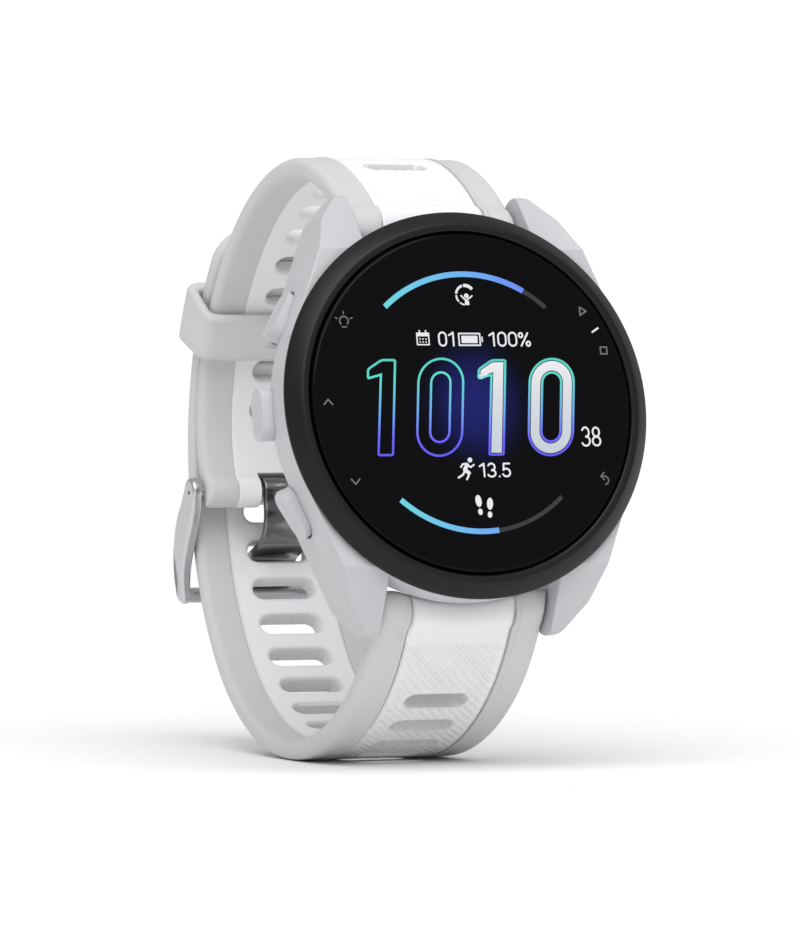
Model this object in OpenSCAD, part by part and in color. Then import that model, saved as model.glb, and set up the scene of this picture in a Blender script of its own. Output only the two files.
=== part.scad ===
// Running watch: round head with five side buttons, on a buckled two-tone silicone strap.
// +X is the dial's right, +Z is up and +Y points away from the dial's face.
// The origin lies on the ground under the middle of the watch, which stands on its strap loop.

/* [Head] */
// Outside diameter of the bezel
bezel_d = 43; // [42.6:0.1:43.2]
// Diameter of the glass
glass_d = 37.7; // [37:0.1:37.8]
// Diameter of the round display module
display_d = 33.8; // [30:0.2:34]
// Lean of the dial back from upright, in degrees
head_lean = 11.2; // [9:0.2:13]
// Height of the dial's centre above the ground
dial_height = 40.2; // [40:0.05:42]

/* [Buttons] */
// Length of a button cap along the rim
button_l = 5.8; // [4.8:0.1:6.2]
// Width of a button cap across the rim
button_w = 3.1; // [2.6:0.1:3.2]
// How far a button travels
button_travel = 0.45; // [0.2:0.05:0.45]

/* [Strap] */
// Width of the strap
strap_w = 20; // [19:0.2:20]
// Thickness of the strap
strap_t = 2.4; // [2.2:0.1:2.4]
// Width of the white middle of the strap
core_w = 12.2; // [11:0.2:13]
// Length of a strap slot across the strap
slot_l = 7.5; // [7:0.1:8]
// Height of a strap slot along the strap
slot_h = 2.4; // [2:0.1:2.6]
// Gap between the two layers where the strap doubles up
layer_gap = 0.15; // [0.1:0.05:0.2]

/* [Buckle] */
// Outside width of the buckle frame
buckle_w = 23.4; // [23:0.1:24]
// Width of the buckle tang
tang_w = 6.2; // [5:0.1:6.4]
// Radius of the buckle's pivot pin
pivot_r = 0.75; // [0.6:0.05:0.8]

/* [Hidden] */

$fn = 64;
eps = 0.01;

// Place of the dial's centre. y is measured towards the back.
dial_y = -27.1;

// Radii and depths of the head, along the dial's own axis: 0 is the bezel's rear edge.
bezel_r = bezel_d / 2;
glass_r = glass_d / 2;
glass_front = 1.85;
glass_back = 0.75;
case_r = bezel_r - 0.3;
wall_r = 18.2;        // inside of the case wall
lip_r = 17.2;         // inside of the front lip and of the bezel's shelf
back_z = -8.6;        // outer face of the rear cover
cover_in_z = -7.5;    // inner face of the rear cover
cover_r = 18.92;
boss_angles = [65, 115, 245, 295];
boss_r = 17;          // distance of the screw bosses from the centre

// Lugs and spring bars
lug_in = strap_w / 2 + 0.2;
bar_v = 22.2;         // distance of a spring bar from the dial's centre line
bar_z = -6.8;
bar_tip_r = 0.4;
bar_tube_r = 0.75;
bar_tip_x = lug_in + 1.0;
release_travel = 1.3;
eye_r = 1.75;         // rounded end of the strap around its bar

// Buttons: angle around the dial from its right-hand side
light_a = 150;
up_a = 180;
down_a = 210;
start_a = 30;
back_a = -30;
button_angles = [light_a, up_a, down_a, start_a, back_a];
button_z = -5.4;
button_out = 22.45;   // outermost point of a cap
cap_in = 19.95;       // inner face of a cap
recess_r = 19.4;      // floor of the recess that a cap slides in
stem_r = 0.8;
stem_in = 16.95;      // inner end of a stem

// Strap curve, in millimetres back from and above the dial's centre.
// The two layers share one centre where they double up, so the keeper can slide round it.
wrap_c = [26, -4.4];
wrap_r = 29.6;                                   // middle of the inner layer
outer_wrap_r = wrap_r + strap_t + layer_gap;     // middle of the outer layer
buckle_at = [53.5, -10.3];
buckle_eye_r = 1.9;

function lean_pt(v, z) = [v * sin(head_lean) - z * cos(head_lean),
                          v * cos(head_lean) + z * sin(head_lean)];
top_bar = lean_pt(bar_v, bar_z);
low_bar = lean_pt(-bar_v, bar_z);

// A knot is [back, up, heading]; heading is the direction of travel in degrees.
function on_wrap(r, a, turn) = [wrap_c[0] + r * cos(a), wrap_c[1] + r * sin(a), a + 90 * turn];
upper_knots = [[top_bar[0], top_bar[1], 40.6], [30.2, 26.3, -10.7],
               on_wrap(wrap_r, 32.7, -1), on_wrap(wrap_r, 7.8, -1),
               [buckle_at[0], buckle_at[1], -114.8]];
lower_knots = [[low_bar[0], low_bar[1], -65.6], [20, -37.8, -16.4], [49, -30, 48.3],
               on_wrap(outer_wrap_r, -0.8, 1), on_wrap(outer_wrap_r, 32.8, 1),
               [46.6, 20.6, 144]];
upper_slots = [10.6, 4.95, 11];   // first slot, pitch and count, along the strap
lower_slots = [11.2, 4.87, 19];

// Two arcs that leave knot a and arrive at knot b along their headings
function unit(h) = [cos(h), sin(h)];
function arc_pts(p, h, q, n) =
    let (t = unit(h), side = [-t[1], t[0]], v = q - p, k = side * v,
         turn = 2 * atan2(k, t * v), r = (v * v) / (2 * k), c = p + side * r)
    [for (i = [1:n]) let (a = h + turn * i / n) [c[0] + r * sin(a), c[1] - r * cos(a), a]];
function biarc(a, b, n) =
    let (p = [a[0], a[1]], q = [b[0], b[1]], t = unit(a[2]) + unit(b[2]), v = q - p,
         f = 4 - t * t, d = (-(v * t) + sqrt((v * t) * (v * t) + f * (v * v))) / f,
         m = (p + q + d * (unit(a[2]) - unit(b[2]))) / 2, first = arc_pts(p, a[2], m, n))
    concat(first, arc_pts(m, first[n - 1][2], q, n));
function strap_path(knots, n = 6) =
    concat([knots[0]], [for (i = [1:len(knots) - 1]) each biarc(knots[i - 1], knots[i], n)]);
upper_path = strap_path(upper_knots);
lower_path = strap_path(lower_knots);

// Outline of a layer of thickness t about a path
function beside(p, d) = [p[0] - d * sin(p[2]), p[1] + d * cos(p[2])];
function layer(path, t) = concat([for (p = path) beside(p, t / 2)],
    [for (i = [len(path) - 1:-1:0]) beside(path[i], -t / 2)]);

// Distance travelled at each point of a path, and the path's place at a distance
function runs(path) = [for (i = 0, s = 0; i < len(path);
    i = i + 1,
    s = i < len(path) ? s + norm([path[i][0] - path[i - 1][0], path[i][1] - path[i - 1][1]]) : s) s];
function at_run(path, s) = let (r = runs(path), i = max([for (j = [0:len(r) - 2]) r[j] <= s ? j : 0]))
    path[i] + (path[i + 1] - path[i]) * (s - r[i]) / (r[i + 1] - r[i]);

// Frames: the head's own axes, and the strap's profile plane with its extrusion along X
module in_head() { translate([0, dial_y, dial_height]) rotate([90 - head_lean, 0, 0]) children(); }
module in_profile() { translate([0, dial_y, dial_height]) rotate([90, 0, 90]) children(); }
module across(x0, x1) { translate([0, 0, x0]) linear_extrude(x1 - x0) children(); }
module at_bar(x0, x1, r, at) { in_profile() translate([at[0], at[1], x0]) cylinder(r = r, h = x1 - x0); }
module tube(r_out, r_in, z0, z1) {
    translate([0, 0, z0]) difference() {
        cylinder(r = r_out, h = z1 - z0);
        translate([0, 0, -1]) cylinder(r = r_in, h = z1 - z0 + 2);
    }
}
module disc(r, z0, z1) { translate([0, 0, z0]) cylinder(r = r, h = z1 - z0); }
module box(x, y, z0, z1) { translate([-x / 2, -y / 2, z0]) cube([x, y, z1 - z0]); }

// Radial frame of a button: +Z points out through the cap's middle
module at_button(a) { in_head() rotate([0, 0, a]) translate([0, 0, button_z]) rotate([0, 90, 0]) children(); }
module pill(l, w, h) {
    translate([-w / 2, -(l - w) / 2, 0]) cube([w, l - w, h]);
    for (s = [-1, 1]) translate([0, s * (l - w) / 2, 0]) cylinder(r = w / 2, h = h);
}

// ---- Head ----
module lug() {
    intersection() {
        translate([0, 0, -9]) linear_extrude(9)
            polygon([[lug_in, 12], [lug_in, 24.6], [11.5, 24.5], [14.2, 21.4], [19.7, 7.9]]);
        rotate([90, 0, 90]) linear_extrude(22)
            polygon([[6, -0.3], [17.6, -0.3], [19.5, -1.6], [24.2, -4.7], [24.9, -6.1],
                     [24.1, -8.1], [22, back_z], [6, back_z]]);
    }
}

module case_middle() {
    color([0.80, 0.80, 0.82]) in_head() difference() {
        union() {
            rotate_extrude() polygon([[lip_r, 0], [case_r, 0], [case_r, -3.4], [case_r - 0.6, -5.8],
                [case_r - 1.4, -7.8], [case_r - 2, back_z], [cover_r + 0.08, back_z],
                [cover_r + 0.08, cover_in_z], [wall_r, cover_in_z], [wall_r, -1.35], [lip_r, -1.35]]);
            difference() {
                for (sx = [0, 1], sy = [0, 1]) mirror([sx, 0, 0]) mirror([0, sy, 0]) lug();
                disc(wall_r + 1, -10, 1);
            }
            for (a = boss_angles) rotate([0, 0, a]) intersection() {
                translate([boss_r, 0, 0]) disc(1.2, cover_in_z, -3.5);
                disc(wall_r + 0.1, -10, 1);
            }
        }
        for (a = boss_angles) rotate([0, 0, a]) translate([boss_r, 0, 0]) disc(0.6, -9, -4.4);
        for (s = [-1, 1]) translate([-lug_in - 1.2, s * bar_v, bar_z]) rotate([0, 90, 0])
            cylinder(r = bar_tip_r + 0.05, h = 2 * lug_in + 2.4);
        for (a = button_angles) rotate([0, 0, a]) translate([0, 0, button_z]) rotate([0, 90, 0]) {
            translate([0, 0, recess_r]) pill(button_l + 0.16, button_w + 0.16, 4);
            translate([0, 0, 16]) cylinder(r = stem_r + 0.05, h = 4);
            translate([0, 0, recess_r - 0.55]) cylinder(r = 1.35, h = 2);
        }
        disc(cover_r - 0.1, cover_in_z - eps, cover_in_z + 0.35 - eps * 2);
    }
}

module bezel_ring() {
    color([0.08, 0.08, 0.09]) in_head() rotate_extrude() polygon([[lip_r, 0], [bezel_r - 0.1, 0],
        [bezel_r, 0.1], [bezel_r, 0.35], [bezel_r - 1.55, 1.65], [bezel_r - 1.8, 1.75],
        [bezel_r - 2.4, 1.6], [glass_r + 0.1, 1.2], [glass_r + 0.1, 0.55], [lip_r, 0.55]]);
}

module lens() {
    color([0.02, 0.02, 0.03]) in_head() rotate_extrude() polygon([[0, glass_back],
        [glass_r, glass_back], [glass_r, glass_front - 0.25], [glass_r - 0.25, glass_front],
        [0, glass_front]]);
}

module lens_gasket() { color([0.1, 0.1, 0.1]) in_head() tube(glass_r - 0.1, lip_r + 0.1, 0.55, glass_back); }

module display_module() { color([0.15, 0.2, 0.35]) in_head() disc(display_d / 2, -0.8, glass_back); }

module inner_chassis() {
    color([0.25, 0.26, 0.28]) in_head() {
        disc(wall_r - 0.15, -1.9, -1.36);
        tube(15.5, 15, -6.3, -1.9);
    }
}

module main_board() {
    color([0.05, 0.35, 0.2]) in_head() {
        disc(14.6, -5.2, -4.4);
        translate([-3, 4, 0]) box(8, 6, -5.9, -5.2);
        translate([6, -5, 0]) box(5, 5, -5.7, -5.2);
        translate([-6, -7, 0]) box(4, 3, -5.8, -5.2);
    }
}

module battery() { color([0.75, 0.75, 0.78]) in_head() box(21, 17, -4.35, -1.95); }

module vibration_motor() {
    color([0.7, 0.68, 0.62]) in_head() translate([10.2, 4, 0]) disc(3.8, -7.4, -6);
}

module buzzer() { color([0.72, 0.6, 0.3]) in_head() translate([-9.6, 4, 0]) disc(4.4, -7.45, -6.5); }

module gps_antenna() {
    color([0.8, 0.6, 0.3]) in_head() intersection() {
        tube(wall_r, wall_r - 0.3, -3.3, -2);
        linear_extrude(20, center = true) polygon([[0, 0], [24, 7], [24, 24], [-24, 24], [-24, 7]]);
    }
}

// One push switch on the chassis wall behind each button
module button_switches() {
    for (a = button_angles) at_button(a) {
        color([0.15, 0.15, 0.16]) translate([-1, -1.6, 15.52]) cube([2, 3.2, 0.65]);
        color([0.75, 0.75, 0.77]) translate([0, 0, 16.1]) cylinder(r = 0.6, h = 0.35);
    }
}

module sensor_board() {
    color([0.05, 0.3, 0.2]) in_head() {
        disc(5.8, -7.1, -6.5);
        for (a = [0:60:300]) rotate([0, 0, a]) translate([4, 0, 0]) box(1.6, 1.6, -7.45, -7.1);
        box(2, 2, -7.45, -7.1);
    }
}

module sensor_window() {
    color([0.05, 0.05, 0.06]) in_head() rotate_extrude() polygon([[0, -7.55], [7.98, -7.55],
        [7.98, -8.7], [7, -9.5], [6.2, -9.75], [0, -9.75]]);
}

contact_x = [-3, -1, 1, 3];
contact_v = -12.4;

module charging_contacts() {
    color([0.85, 0.7, 0.4]) in_head() for (x = contact_x) translate([x, contact_v, 0])
        disc(0.55, back_z + 0.2, -5.2);
}

module rear_cover() {
    color([0.72, 0.72, 0.74]) in_head() difference() {
        disc(cover_r, back_z, cover_in_z);
        disc(8, -10, -5);
        for (x = contact_x) translate([x, contact_v, 0]) disc(0.55, -10, -5);
        for (a = boss_angles) rotate([0, 0, a]) translate([boss_r, 0, 0]) {
            disc(0.7, -10, -5);
            disc(1.15, -10, back_z + 0.6);
        }
    }
}

module rear_cover_seal() {
    color([0.1, 0.1, 0.1]) in_head() tube(cover_r - 0.1, wall_r + 0.3, cover_in_z, cover_in_z + 0.3);
}

module rear_screws() {
    color([0.6, 0.6, 0.62]) in_head() for (a = boss_angles) rotate([0, 0, a])
        translate([boss_r, 0, 0]) difference() {
            union() {
                disc(0.58, back_z + 0.1, -4.6);
                disc(1.05, back_z + 0.05, back_z + 0.6);
            }
            translate([0, 0, back_z]) cylinder(r = 0.4, h = 0.4, $fn = 6);
        }
}

module button_seals() {
    color([0.1, 0.1, 0.1]) for (a = button_angles) at_button(a) translate([0, 0, recess_r - 0.27])
        rotate_extrude() translate([stem_r + 0.29, 0]) circle(r = 0.24, $fn = 24);
}

// ---- Buttons ----
// A crowned cap with its stem in one piece, and the clip that holds it in
module button(a) {
    color([0.86, 0.86, 0.87]) at_button(a) {
        intersection() {
            translate([0, 0, cap_in]) pill(button_l, button_w, 3);
            translate([0, 0, button_out - 12]) sphere(r = 12, $fn = 96);
        }
        difference() {
            translate([0, 0, stem_in]) cylinder(r = stem_r, h = cap_in - stem_in + eps);
            translate([0, 0, 17.6]) difference() {
                cylinder(r = 2, h = 0.4);
                translate([0, 0, -1]) cylinder(r = 0.55, h = 2);
            }
        }
    }
}
module button_clip(a) {
    color([0.5, 0.5, 0.52]) at_button(a) translate([0, 0, 17.62]) difference() {
        cylinder(r = 1.4, h = 0.36);
        translate([0, 0, -1]) cylinder(r = 0.57, h = 3);
        translate([-0.4, 0, -1]) cube([0.8, 3, 3]);
    }
}
module button_light() { button(light_a); }
module button_light_clip() { button_clip(light_a); }
module button_up() { button(up_a); }
module button_up_clip() { button_clip(up_a); }
module button_down() { button(down_a); }
module button_down_clip() { button_clip(down_a); }
module button_start_stop() { button(start_a); }
module button_start_stop_clip() { button_clip(start_a); }
module button_back() { button(back_a); }
module button_back_clip() { button_clip(back_a); }

// ---- Strap ----
lever_x = 7.6;        // distance of the quick-release lever from the middle
lever_w = 1.0;

// A strip of the strap between x0 and x1, with its rounded end around the spring bar
module strap_strip(path, bar, x0, x1) {
    in_profile() across(x0, x1) polygon(layer(path, strap_t));
    at_bar(x0, x1, eye_r, bar);
}
module strap_slots(path, row) {
    for (i = [0:row[2] - 1]) let (p = at_run(path, row[0] + row[1] * i))
        in_profile() translate([p[0], p[1], 0]) rotate([0, 0, p[2]]) rotate([90, 0, 0])
            translate([0, 0, -strap_t]) pill(slot_l, slot_h, 2 * strap_t);
}
// Space for the spring bar and for its lever, which opens to the wrist's side
module bar_space(bar, heading, side) {
    at_bar(-12, 12, bar_tube_r + 0.02, bar);
    in_profile() translate([bar[0], bar[1], 0]) rotate([0, 0, heading])
        translate([-0.6, side > 0 ? 0 : -4, -lever_x - lever_w / 2 - 0.1])
            cube([1.2, 4, lever_w + release_travel + 0.2]);
}
module strap_edges(path, bar, heading, side) {
    difference() {
        for (s = [-1, 1]) strap_strip(path, bar, min(s * core_w, s * strap_w) / 2,
            max(s * core_w, s * strap_w) / 2);
        bar_space(bar, heading, side);
    }
}

module lower_strap_edges() {
    color([0.78, 0.79, 0.80]) strap_edges(lower_path, low_bar, lower_knots[0][2], 1);
}
module lower_strap_core() {
    color([0.95, 0.95, 0.96]) difference() {
        union() strap_strip(lower_path, low_bar, -core_w / 2, core_w / 2);
        strap_slots(lower_path, lower_slots);
        bar_space(low_bar, lower_knots[0][2], 1);
    }
}
module upper_strip(x0, x1) {
    strap_strip(upper_path, top_bar, x0, x1);
    at_bar(x0, x1, buckle_eye_r, buckle_at);
}
module upper_strap_edges() {
    color([0.78, 0.79, 0.80]) difference() {
        for (s = [-1, 1]) upper_strip(min(s * core_w, s * strap_w) / 2, max(s * core_w, s * strap_w) / 2);
        bar_space(top_bar, upper_knots[0][2], -1);
        at_bar(-12, 12, pivot_r + 0.05, buckle_at);
    }
}
module upper_strap_core() {
    color([0.95, 0.95, 0.96]) difference() {
        union() upper_strip(-core_w / 2, core_w / 2);
        strap_slots(upper_path, upper_slots);
        bar_space(top_bar, upper_knots[0][2], -1);
        at_bar(-12, 12, pivot_r + 0.05, buckle_at);
        translate([-tang_w / 2 - 0.25, dial_y + buckle_at[0] - 6, dial_height + buckle_at[1] - 6])
            cube([tang_w + 0.5, 12, 8.3]);
    }
}

// ---- Spring bars: tube, fixed pin and sliding release pin with its lever ----
module bar_tube(bar, heading, side) {
    color([0.65, 0.65, 0.67]) difference() {
        at_bar(-9.7, 9.7, bar_tube_r, bar);
        at_bar(-12, 12, 0.5, bar);
        in_profile() translate([bar[0], bar[1], 0]) rotate([0, 0, heading])
            translate([-0.4, side > 0 ? 0 : -4, -lever_x - lever_w / 2 - 0.1])
                cube([0.8, 4, lever_w + release_travel + 0.2]);
    }
}
module bar_pin(bar) {
    color([0.7, 0.7, 0.72]) {
        at_bar(5, 9.7, 0.5, bar);
        at_bar(9.6, bar_tip_x, bar_tip_r, bar);
    }
}
module release_pin(bar, heading, side) {
    color([0.7, 0.7, 0.72]) {
        at_bar(-9.6, -4, 0.46, bar);
        at_bar(-bar_tip_x, -9.5, bar_tip_r, bar);
        in_profile() translate([bar[0], bar[1], 0]) rotate([0, 0, heading])
            translate([-0.3, side > 0 ? 0 : -2.4, -lever_x - lever_w / 2]) cube([0.6, 2.4, lever_w]);
    }
}
module lower_bar_tube() { bar_tube(low_bar, lower_knots[0][2], 1); }
module lower_bar_pin() { bar_pin(low_bar); }
module lower_release_pin() { release_pin(low_bar, lower_knots[0][2], 1); }
module upper_bar_tube() { bar_tube(top_bar, upper_knots[0][2], -1); }
module upper_bar_pin() { bar_pin(top_bar); }
module upper_release_pin() { release_pin(top_bar, upper_knots[0][2], -1); }

// ---- Keeper: a loop bent about the same centre as the layers it holds ----
keeper_from = 20.4;
keeper_to = 32.2;
keeper_wall = 1.7;
keeper_gap = 0.25;
keeper_in_x = strap_w / 2 + 0.25;
keeper_out_x = strap_w / 2 + 1.5;

module wrap_ring(r0, r1, x) {
    in_profile() translate([wrap_c[0], wrap_c[1], -x]) rotate([0, 0, keeper_from])
        rotate_extrude(angle = keeper_to - keeper_from, $fn = 128) translate([r0, 0])
            square([r1 - r0, 2 * x]);
}
module keeper_loop() {
    r0 = wrap_r - strap_t / 2 - keeper_gap;
    r1 = outer_wrap_r + strap_t / 2 + keeper_gap;
    color([0.80, 0.80, 0.81]) difference() {
        wrap_ring(r0 - keeper_wall, r1 + keeper_wall, keeper_out_x);
        in_profile() translate([wrap_c[0], wrap_c[1], -keeper_in_x])
            rotate_extrude($fn = 128) translate([r0, 0]) square([r1 - r0, 2 * keeper_in_x]);
    }
}

// ---- Buckle ----
arm_t = 1.3;
far_bar = [57.5, -22.5];

module buckle_frame() {
    color([0.42, 0.42, 0.44]) difference() {
        union() {
            for (s = [0, 1]) mirror([s, 0, 0]) in_profile() across(buckle_w / 2 - arm_t, buckle_w / 2)
                polygon(concat(
                    [for (a = [20:20:200]) buckle_at + [0.45, 0] + 1.65 * unit(a)],
                    [[52.6, -12.6], [54.9, -16.4], [56.3, -19.6]],
                    [for (a = [180:30:360]) far_bar + [0.1, 0.2] + 1.25 * unit(a)],
                    [[59.3, -19], [58.9, -15.8], [57.6, -12.6]]));
            at_bar(-buckle_w / 2 + eps, buckle_w / 2 - eps, 0.95, far_bar);
        }
        at_bar(-buckle_w, buckle_w, pivot_r, buckle_at);
    }
}
module buckle_pin() {
    color([0.35, 0.35, 0.37]) at_bar(-buckle_w / 2 + 0.1, buckle_w / 2 - 0.1, pivot_r, buckle_at);
}

tang_t = 1.1;
tang_path = strap_path([[52.15, -10.9, -100], [51.6, -14.2, -80], [56.2, -17.7, -22],
                        [59.2, -21.9, -66]], 5);
module buckle_tang() {
    color([0.45, 0.45, 0.47]) difference() {
        union() {
            in_profile() across(-tang_w / 2, tang_w / 2) polygon(layer(tang_path, tang_t));
            at_bar(-tang_w / 2, tang_w / 2, 1.75, buckle_at);
        }
        at_bar(-buckle_w, buckle_w, pivot_r + 0.05, buckle_at);
    }
}

case_middle();
bezel_ring();
lens();
lens_gasket();
display_module();
inner_chassis();
main_board();
battery();
vibration_motor();
buzzer();
gps_antenna();
button_switches();
sensor_board();
sensor_window();
charging_contacts();
rear_cover();
rear_cover_seal();
rear_screws();
button_seals();
button_light();
button_light_clip();
button_up();
button_up_clip();
button_down();
button_down_clip();
button_start_stop();
button_start_stop_clip();
button_back();
button_back_clip();
lower_strap_edges();
lower_strap_core();
lower_bar_tube();
lower_bar_pin();
lower_release_pin();
upper_strap_edges();
upper_strap_core();
upper_bar_tube();
upper_bar_pin();
upper_release_pin();
keeper_loop();
buckle_frame();
buckle_pin();
buckle_tang();
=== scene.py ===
"""Running watch with a round dial, five side buttons and a two-tone slotted silicone strap.

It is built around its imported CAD, in the CAD's own frame.
"""

import math

import bmesh
import bpy
from bpy.props import FloatProperty, FloatVectorProperty, IntProperty, PointerProperty
from mathutils import Matrix, Vector


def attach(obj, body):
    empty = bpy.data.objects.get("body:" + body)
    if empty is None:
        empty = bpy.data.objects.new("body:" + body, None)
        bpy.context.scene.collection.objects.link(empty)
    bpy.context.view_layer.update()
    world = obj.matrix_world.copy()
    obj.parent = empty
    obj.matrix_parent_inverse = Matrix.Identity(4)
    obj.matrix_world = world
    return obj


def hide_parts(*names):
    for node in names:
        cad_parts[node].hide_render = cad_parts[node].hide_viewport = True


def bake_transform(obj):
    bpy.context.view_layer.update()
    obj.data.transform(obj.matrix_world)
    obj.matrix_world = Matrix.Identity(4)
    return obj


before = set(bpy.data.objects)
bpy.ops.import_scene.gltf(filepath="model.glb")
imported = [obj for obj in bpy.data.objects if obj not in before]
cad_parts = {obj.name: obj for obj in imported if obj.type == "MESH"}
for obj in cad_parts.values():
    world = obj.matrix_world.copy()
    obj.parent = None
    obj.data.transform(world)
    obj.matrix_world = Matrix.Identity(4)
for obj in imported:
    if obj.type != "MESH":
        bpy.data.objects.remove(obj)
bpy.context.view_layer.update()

bl_info = {
    "name": "Running Watch",
    "version": (1, 0, 0),
    "blender": (4, 5, 0),
    "location": "3D View > Sidebar > Watch",
    "description": "Builds a running watch on its buckled silicone strap",
    "category": "Add Mesh",
}

MM = 0.001  # one millimetre in metres; shapes are worked out in millimetres and scaled once
DIAL_BACK = -27.1  # place of the dial's centre along Y
DIAL_HEIGHT = 40.2
DIAL_LEAN = math.radians(11.2)
HEAD = Matrix.Translation((0, DIAL_BACK, DIAL_HEIGHT)) @ Matrix.Rotation(math.pi / 2 - DIAL_LEAN, 4, "X")

WRAP_CENTRE = (26, -4.4)  # centre that both strap layers and the keeper curve about
INNER_WRAP_R = 29.6
OUTER_WRAP_R = 32.15
BUCKLE_AT = (53.5, -10.3)  # the buckle pin, back and up from the dial's centre
BOW_AT = (57.5, -22.5)  # the bar that joins the buckle's arms at their feet
SPRING_BAR_V = 22.2  # height and depth of a spring bar in the head
SPRING_BAR_W = -6.8
LUG_EYE_R = 1.75  # the strap's round end about its spring bar
BUCKLE_EYE_R = 1.9  # the strap's round end about the buckle pin
CASE_R = 21.2  # the round of the case that the strap's ends follow
NOSE_RUN = 2  # length of strap that is drawn out to follow it
NOSE_REACH = 1.3  # the most that it is drawn out
NOSE_FOLLOW = 0.92  # how closely it follows
CORE_CELL = 0.2  # size of the core's mesh cells
EDGE_CELL = 0.24
CORE_GAP = 0.02  # gap between the strap's core and its edges
CORE_TAIL_R = 4.4  # corners of the core at the strap's tail
TAIL_BORDER = 4.2  # length of the edge piece past the core at the tail
SMOOTH_LEAD = 2.5  # the ribs start this far from the lug
GROOVE_SHARE = 0.62  # share of the ribs' pitch that a groove takes
BUTTON_ANGLES = {"light": 150, "up": 180, "down": 210, "start_stop": 30, "back": -30}
BUTTON_W = -5.4  # depth of the buttons in the head
CAP_INNER_R = 19.95
CAP_OUTER_R = 22.45
CAP_CROWN_R = 12.0
# (inset, drop) of the steps that round a cap's edge
CAP_ROUNDING = ((0.0, 0.62), (0.05, 0.4), (0.14, 0.24), (0.27, 0.12), (0.44, 0.03), (0.62, 0.0))
RECESS_R = 19.4
DIGIT_SLANT = 0.106

# Turned profiles: (inset from the rim, height) where named so, and otherwise (radius, height)
SEAT_R = 17.2  # bore under the bezel and the glass
CASE_BACK = -8.6
CASE_INSETS = ((0.12, 0), (0, -0.12), (0, -4.3), (0.12, -4.85), (0.55, -5.6), (0.68, -6), (1.3, -7.6),
               (1.5, -7.95), (1.9, -8.5), (2.05, CASE_BACK))
CASE_HOLLOW = ((0, 0.5), (SEAT_R, 0.5), (SEAT_R, -1.35), (18.2, -1.35), (18.2, -7.5), (19, -7.5),
               (19, -9.2), (0, -9.2))
BEZEL_INSETS = ((0.1, 0), (0.03, 0.04), (0, 0.12), (0, 0.3), (0.03, 0.4), (0.09, 0.49), (1.45, 1.6),
                (1.55, 1.67), (1.66, 1.71), (1.85, 1.73), (2.25, 1.68), (2.36, 1.6), (2.42, 1.45))
GLASS_TOP = 1.85
GLASS_INSETS = ((0.05, 0.75), (0, 0.8), (0, 1.55), (0.05, 1.68), (0.15, 1.78), (0.3, 1.83), (0.6, GLASS_TOP))

# A lug's side as (height, depth) in the head, and the lines (across, height) that its faces are cut along
LUG_SIDE = ((17.6, -0.3), (19.5, -1.6), (24.2, -4.7), (24.9, -6.1), (24.1, -8.1), (22, CASE_BACK),
            (8, CASE_BACK), (8, -0.3))
LUG_CUTS = ((11.5, 24.5), (14.2, 21.4), (19.7, 7.9))
POCKET_END_GAP = 0.55  # room round a button cap in its recess
POCKET_SIDE_GAP = 0.36
POCKET_TOP = 25  # the cutter for a recess ends clear of the case

CAMERA_AT = (-0.263577, -0.626604, 0.042926)  # in metres
CAMERA_LENS = 232.76
CAMERA_TURN = 23.1  # degrees round to the left of the dial
CAMERA_RISE = 0.8  # degrees above level

KEEPER_FIRST = 20.4  # the keeper's ends, in degrees about the strap's centre
KEEPER_LAST = 32.2
KEEPER_WALL = 1.7


def linear(*srgb):
    """A display colour of 0 to 255 as the linear colour that materials take."""
    return tuple(c / 255 / 12.92 if c <= 10.3 else ((c / 255 + 0.055) / 1.055) ** 2.4 for c in srgb)


# ---- Settings ----
def length(name, text, default, low, high):
    return FloatProperty(name=name, description=text, default=default * MM, min=low * MM, max=high * MM,
                         unit="LENGTH", subtype="DISTANCE", precision=5)


def colour(name, text, *srgb):
    return FloatVectorProperty(name=name, description=text, default=linear(*srgb), min=0, max=1, size=3,
                               subtype="COLOR")


class WatchSizes(bpy.types.PropertyGroup):
    """Sizes of the watch that a maker may change"""

    bezel_d: length("Bezel Diameter", "Outside diameter of the bezel", 43, 42, 43)
    glass_d: length("Glass Diameter", "Diameter of the glass", 37.7, 36, 37.8)
    strap_w: length("Strap Width", "Width of the strap", 20, 18, 20)
    strap_t: length("Strap Thickness", "Thickness of the strap", 2.4, 2, 2.4)
    core_w: length("Core Width", "Width of the pale middle of the strap", 12.2, 11, 13)
    slot_l: length("Slot Length", "Length of a slot across the strap", 7.5, 6, 8)
    slot_h: length("Slot Height", "Height of a slot along the strap", 2.4, 2, 2.6)
    slot_lip: length("Slot Lip", "Rounding of the slots' edges", 0.42, 0.1, 0.6)
    rib_pitch: length("Rib Pitch", "Spacing of the strap's diagonal ribs", 0.82, 0.5, 1.5)
    rib_depth: length("Rib Depth", "Depth of the grooves between the ribs", 0.28, 0, 0.3)
    button_l: length("Button Length", "Length of a button cap along the rim", 5.8, 4.5, 5.9)
    button_w: length("Button Width", "Width of a button cap", 3.1, 2.5, 3.2)
    buckle_w: length("Buckle Width", "Outside width of the buckle frame", 23.4, 22, 23.4)
    tang_w: length("Tang Width", "Width of the buckle tang", 6.2, 5, 6.4)
    keeper_round: length("Keeper Rounding", "Rounding of the keeper's edges", 0.65, 0.2, 0.8)
    lathe_steps: IntProperty(name="Lathe Steps", description="Steps around a turned piece", default=160,
                             min=48, max=256)


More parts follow.
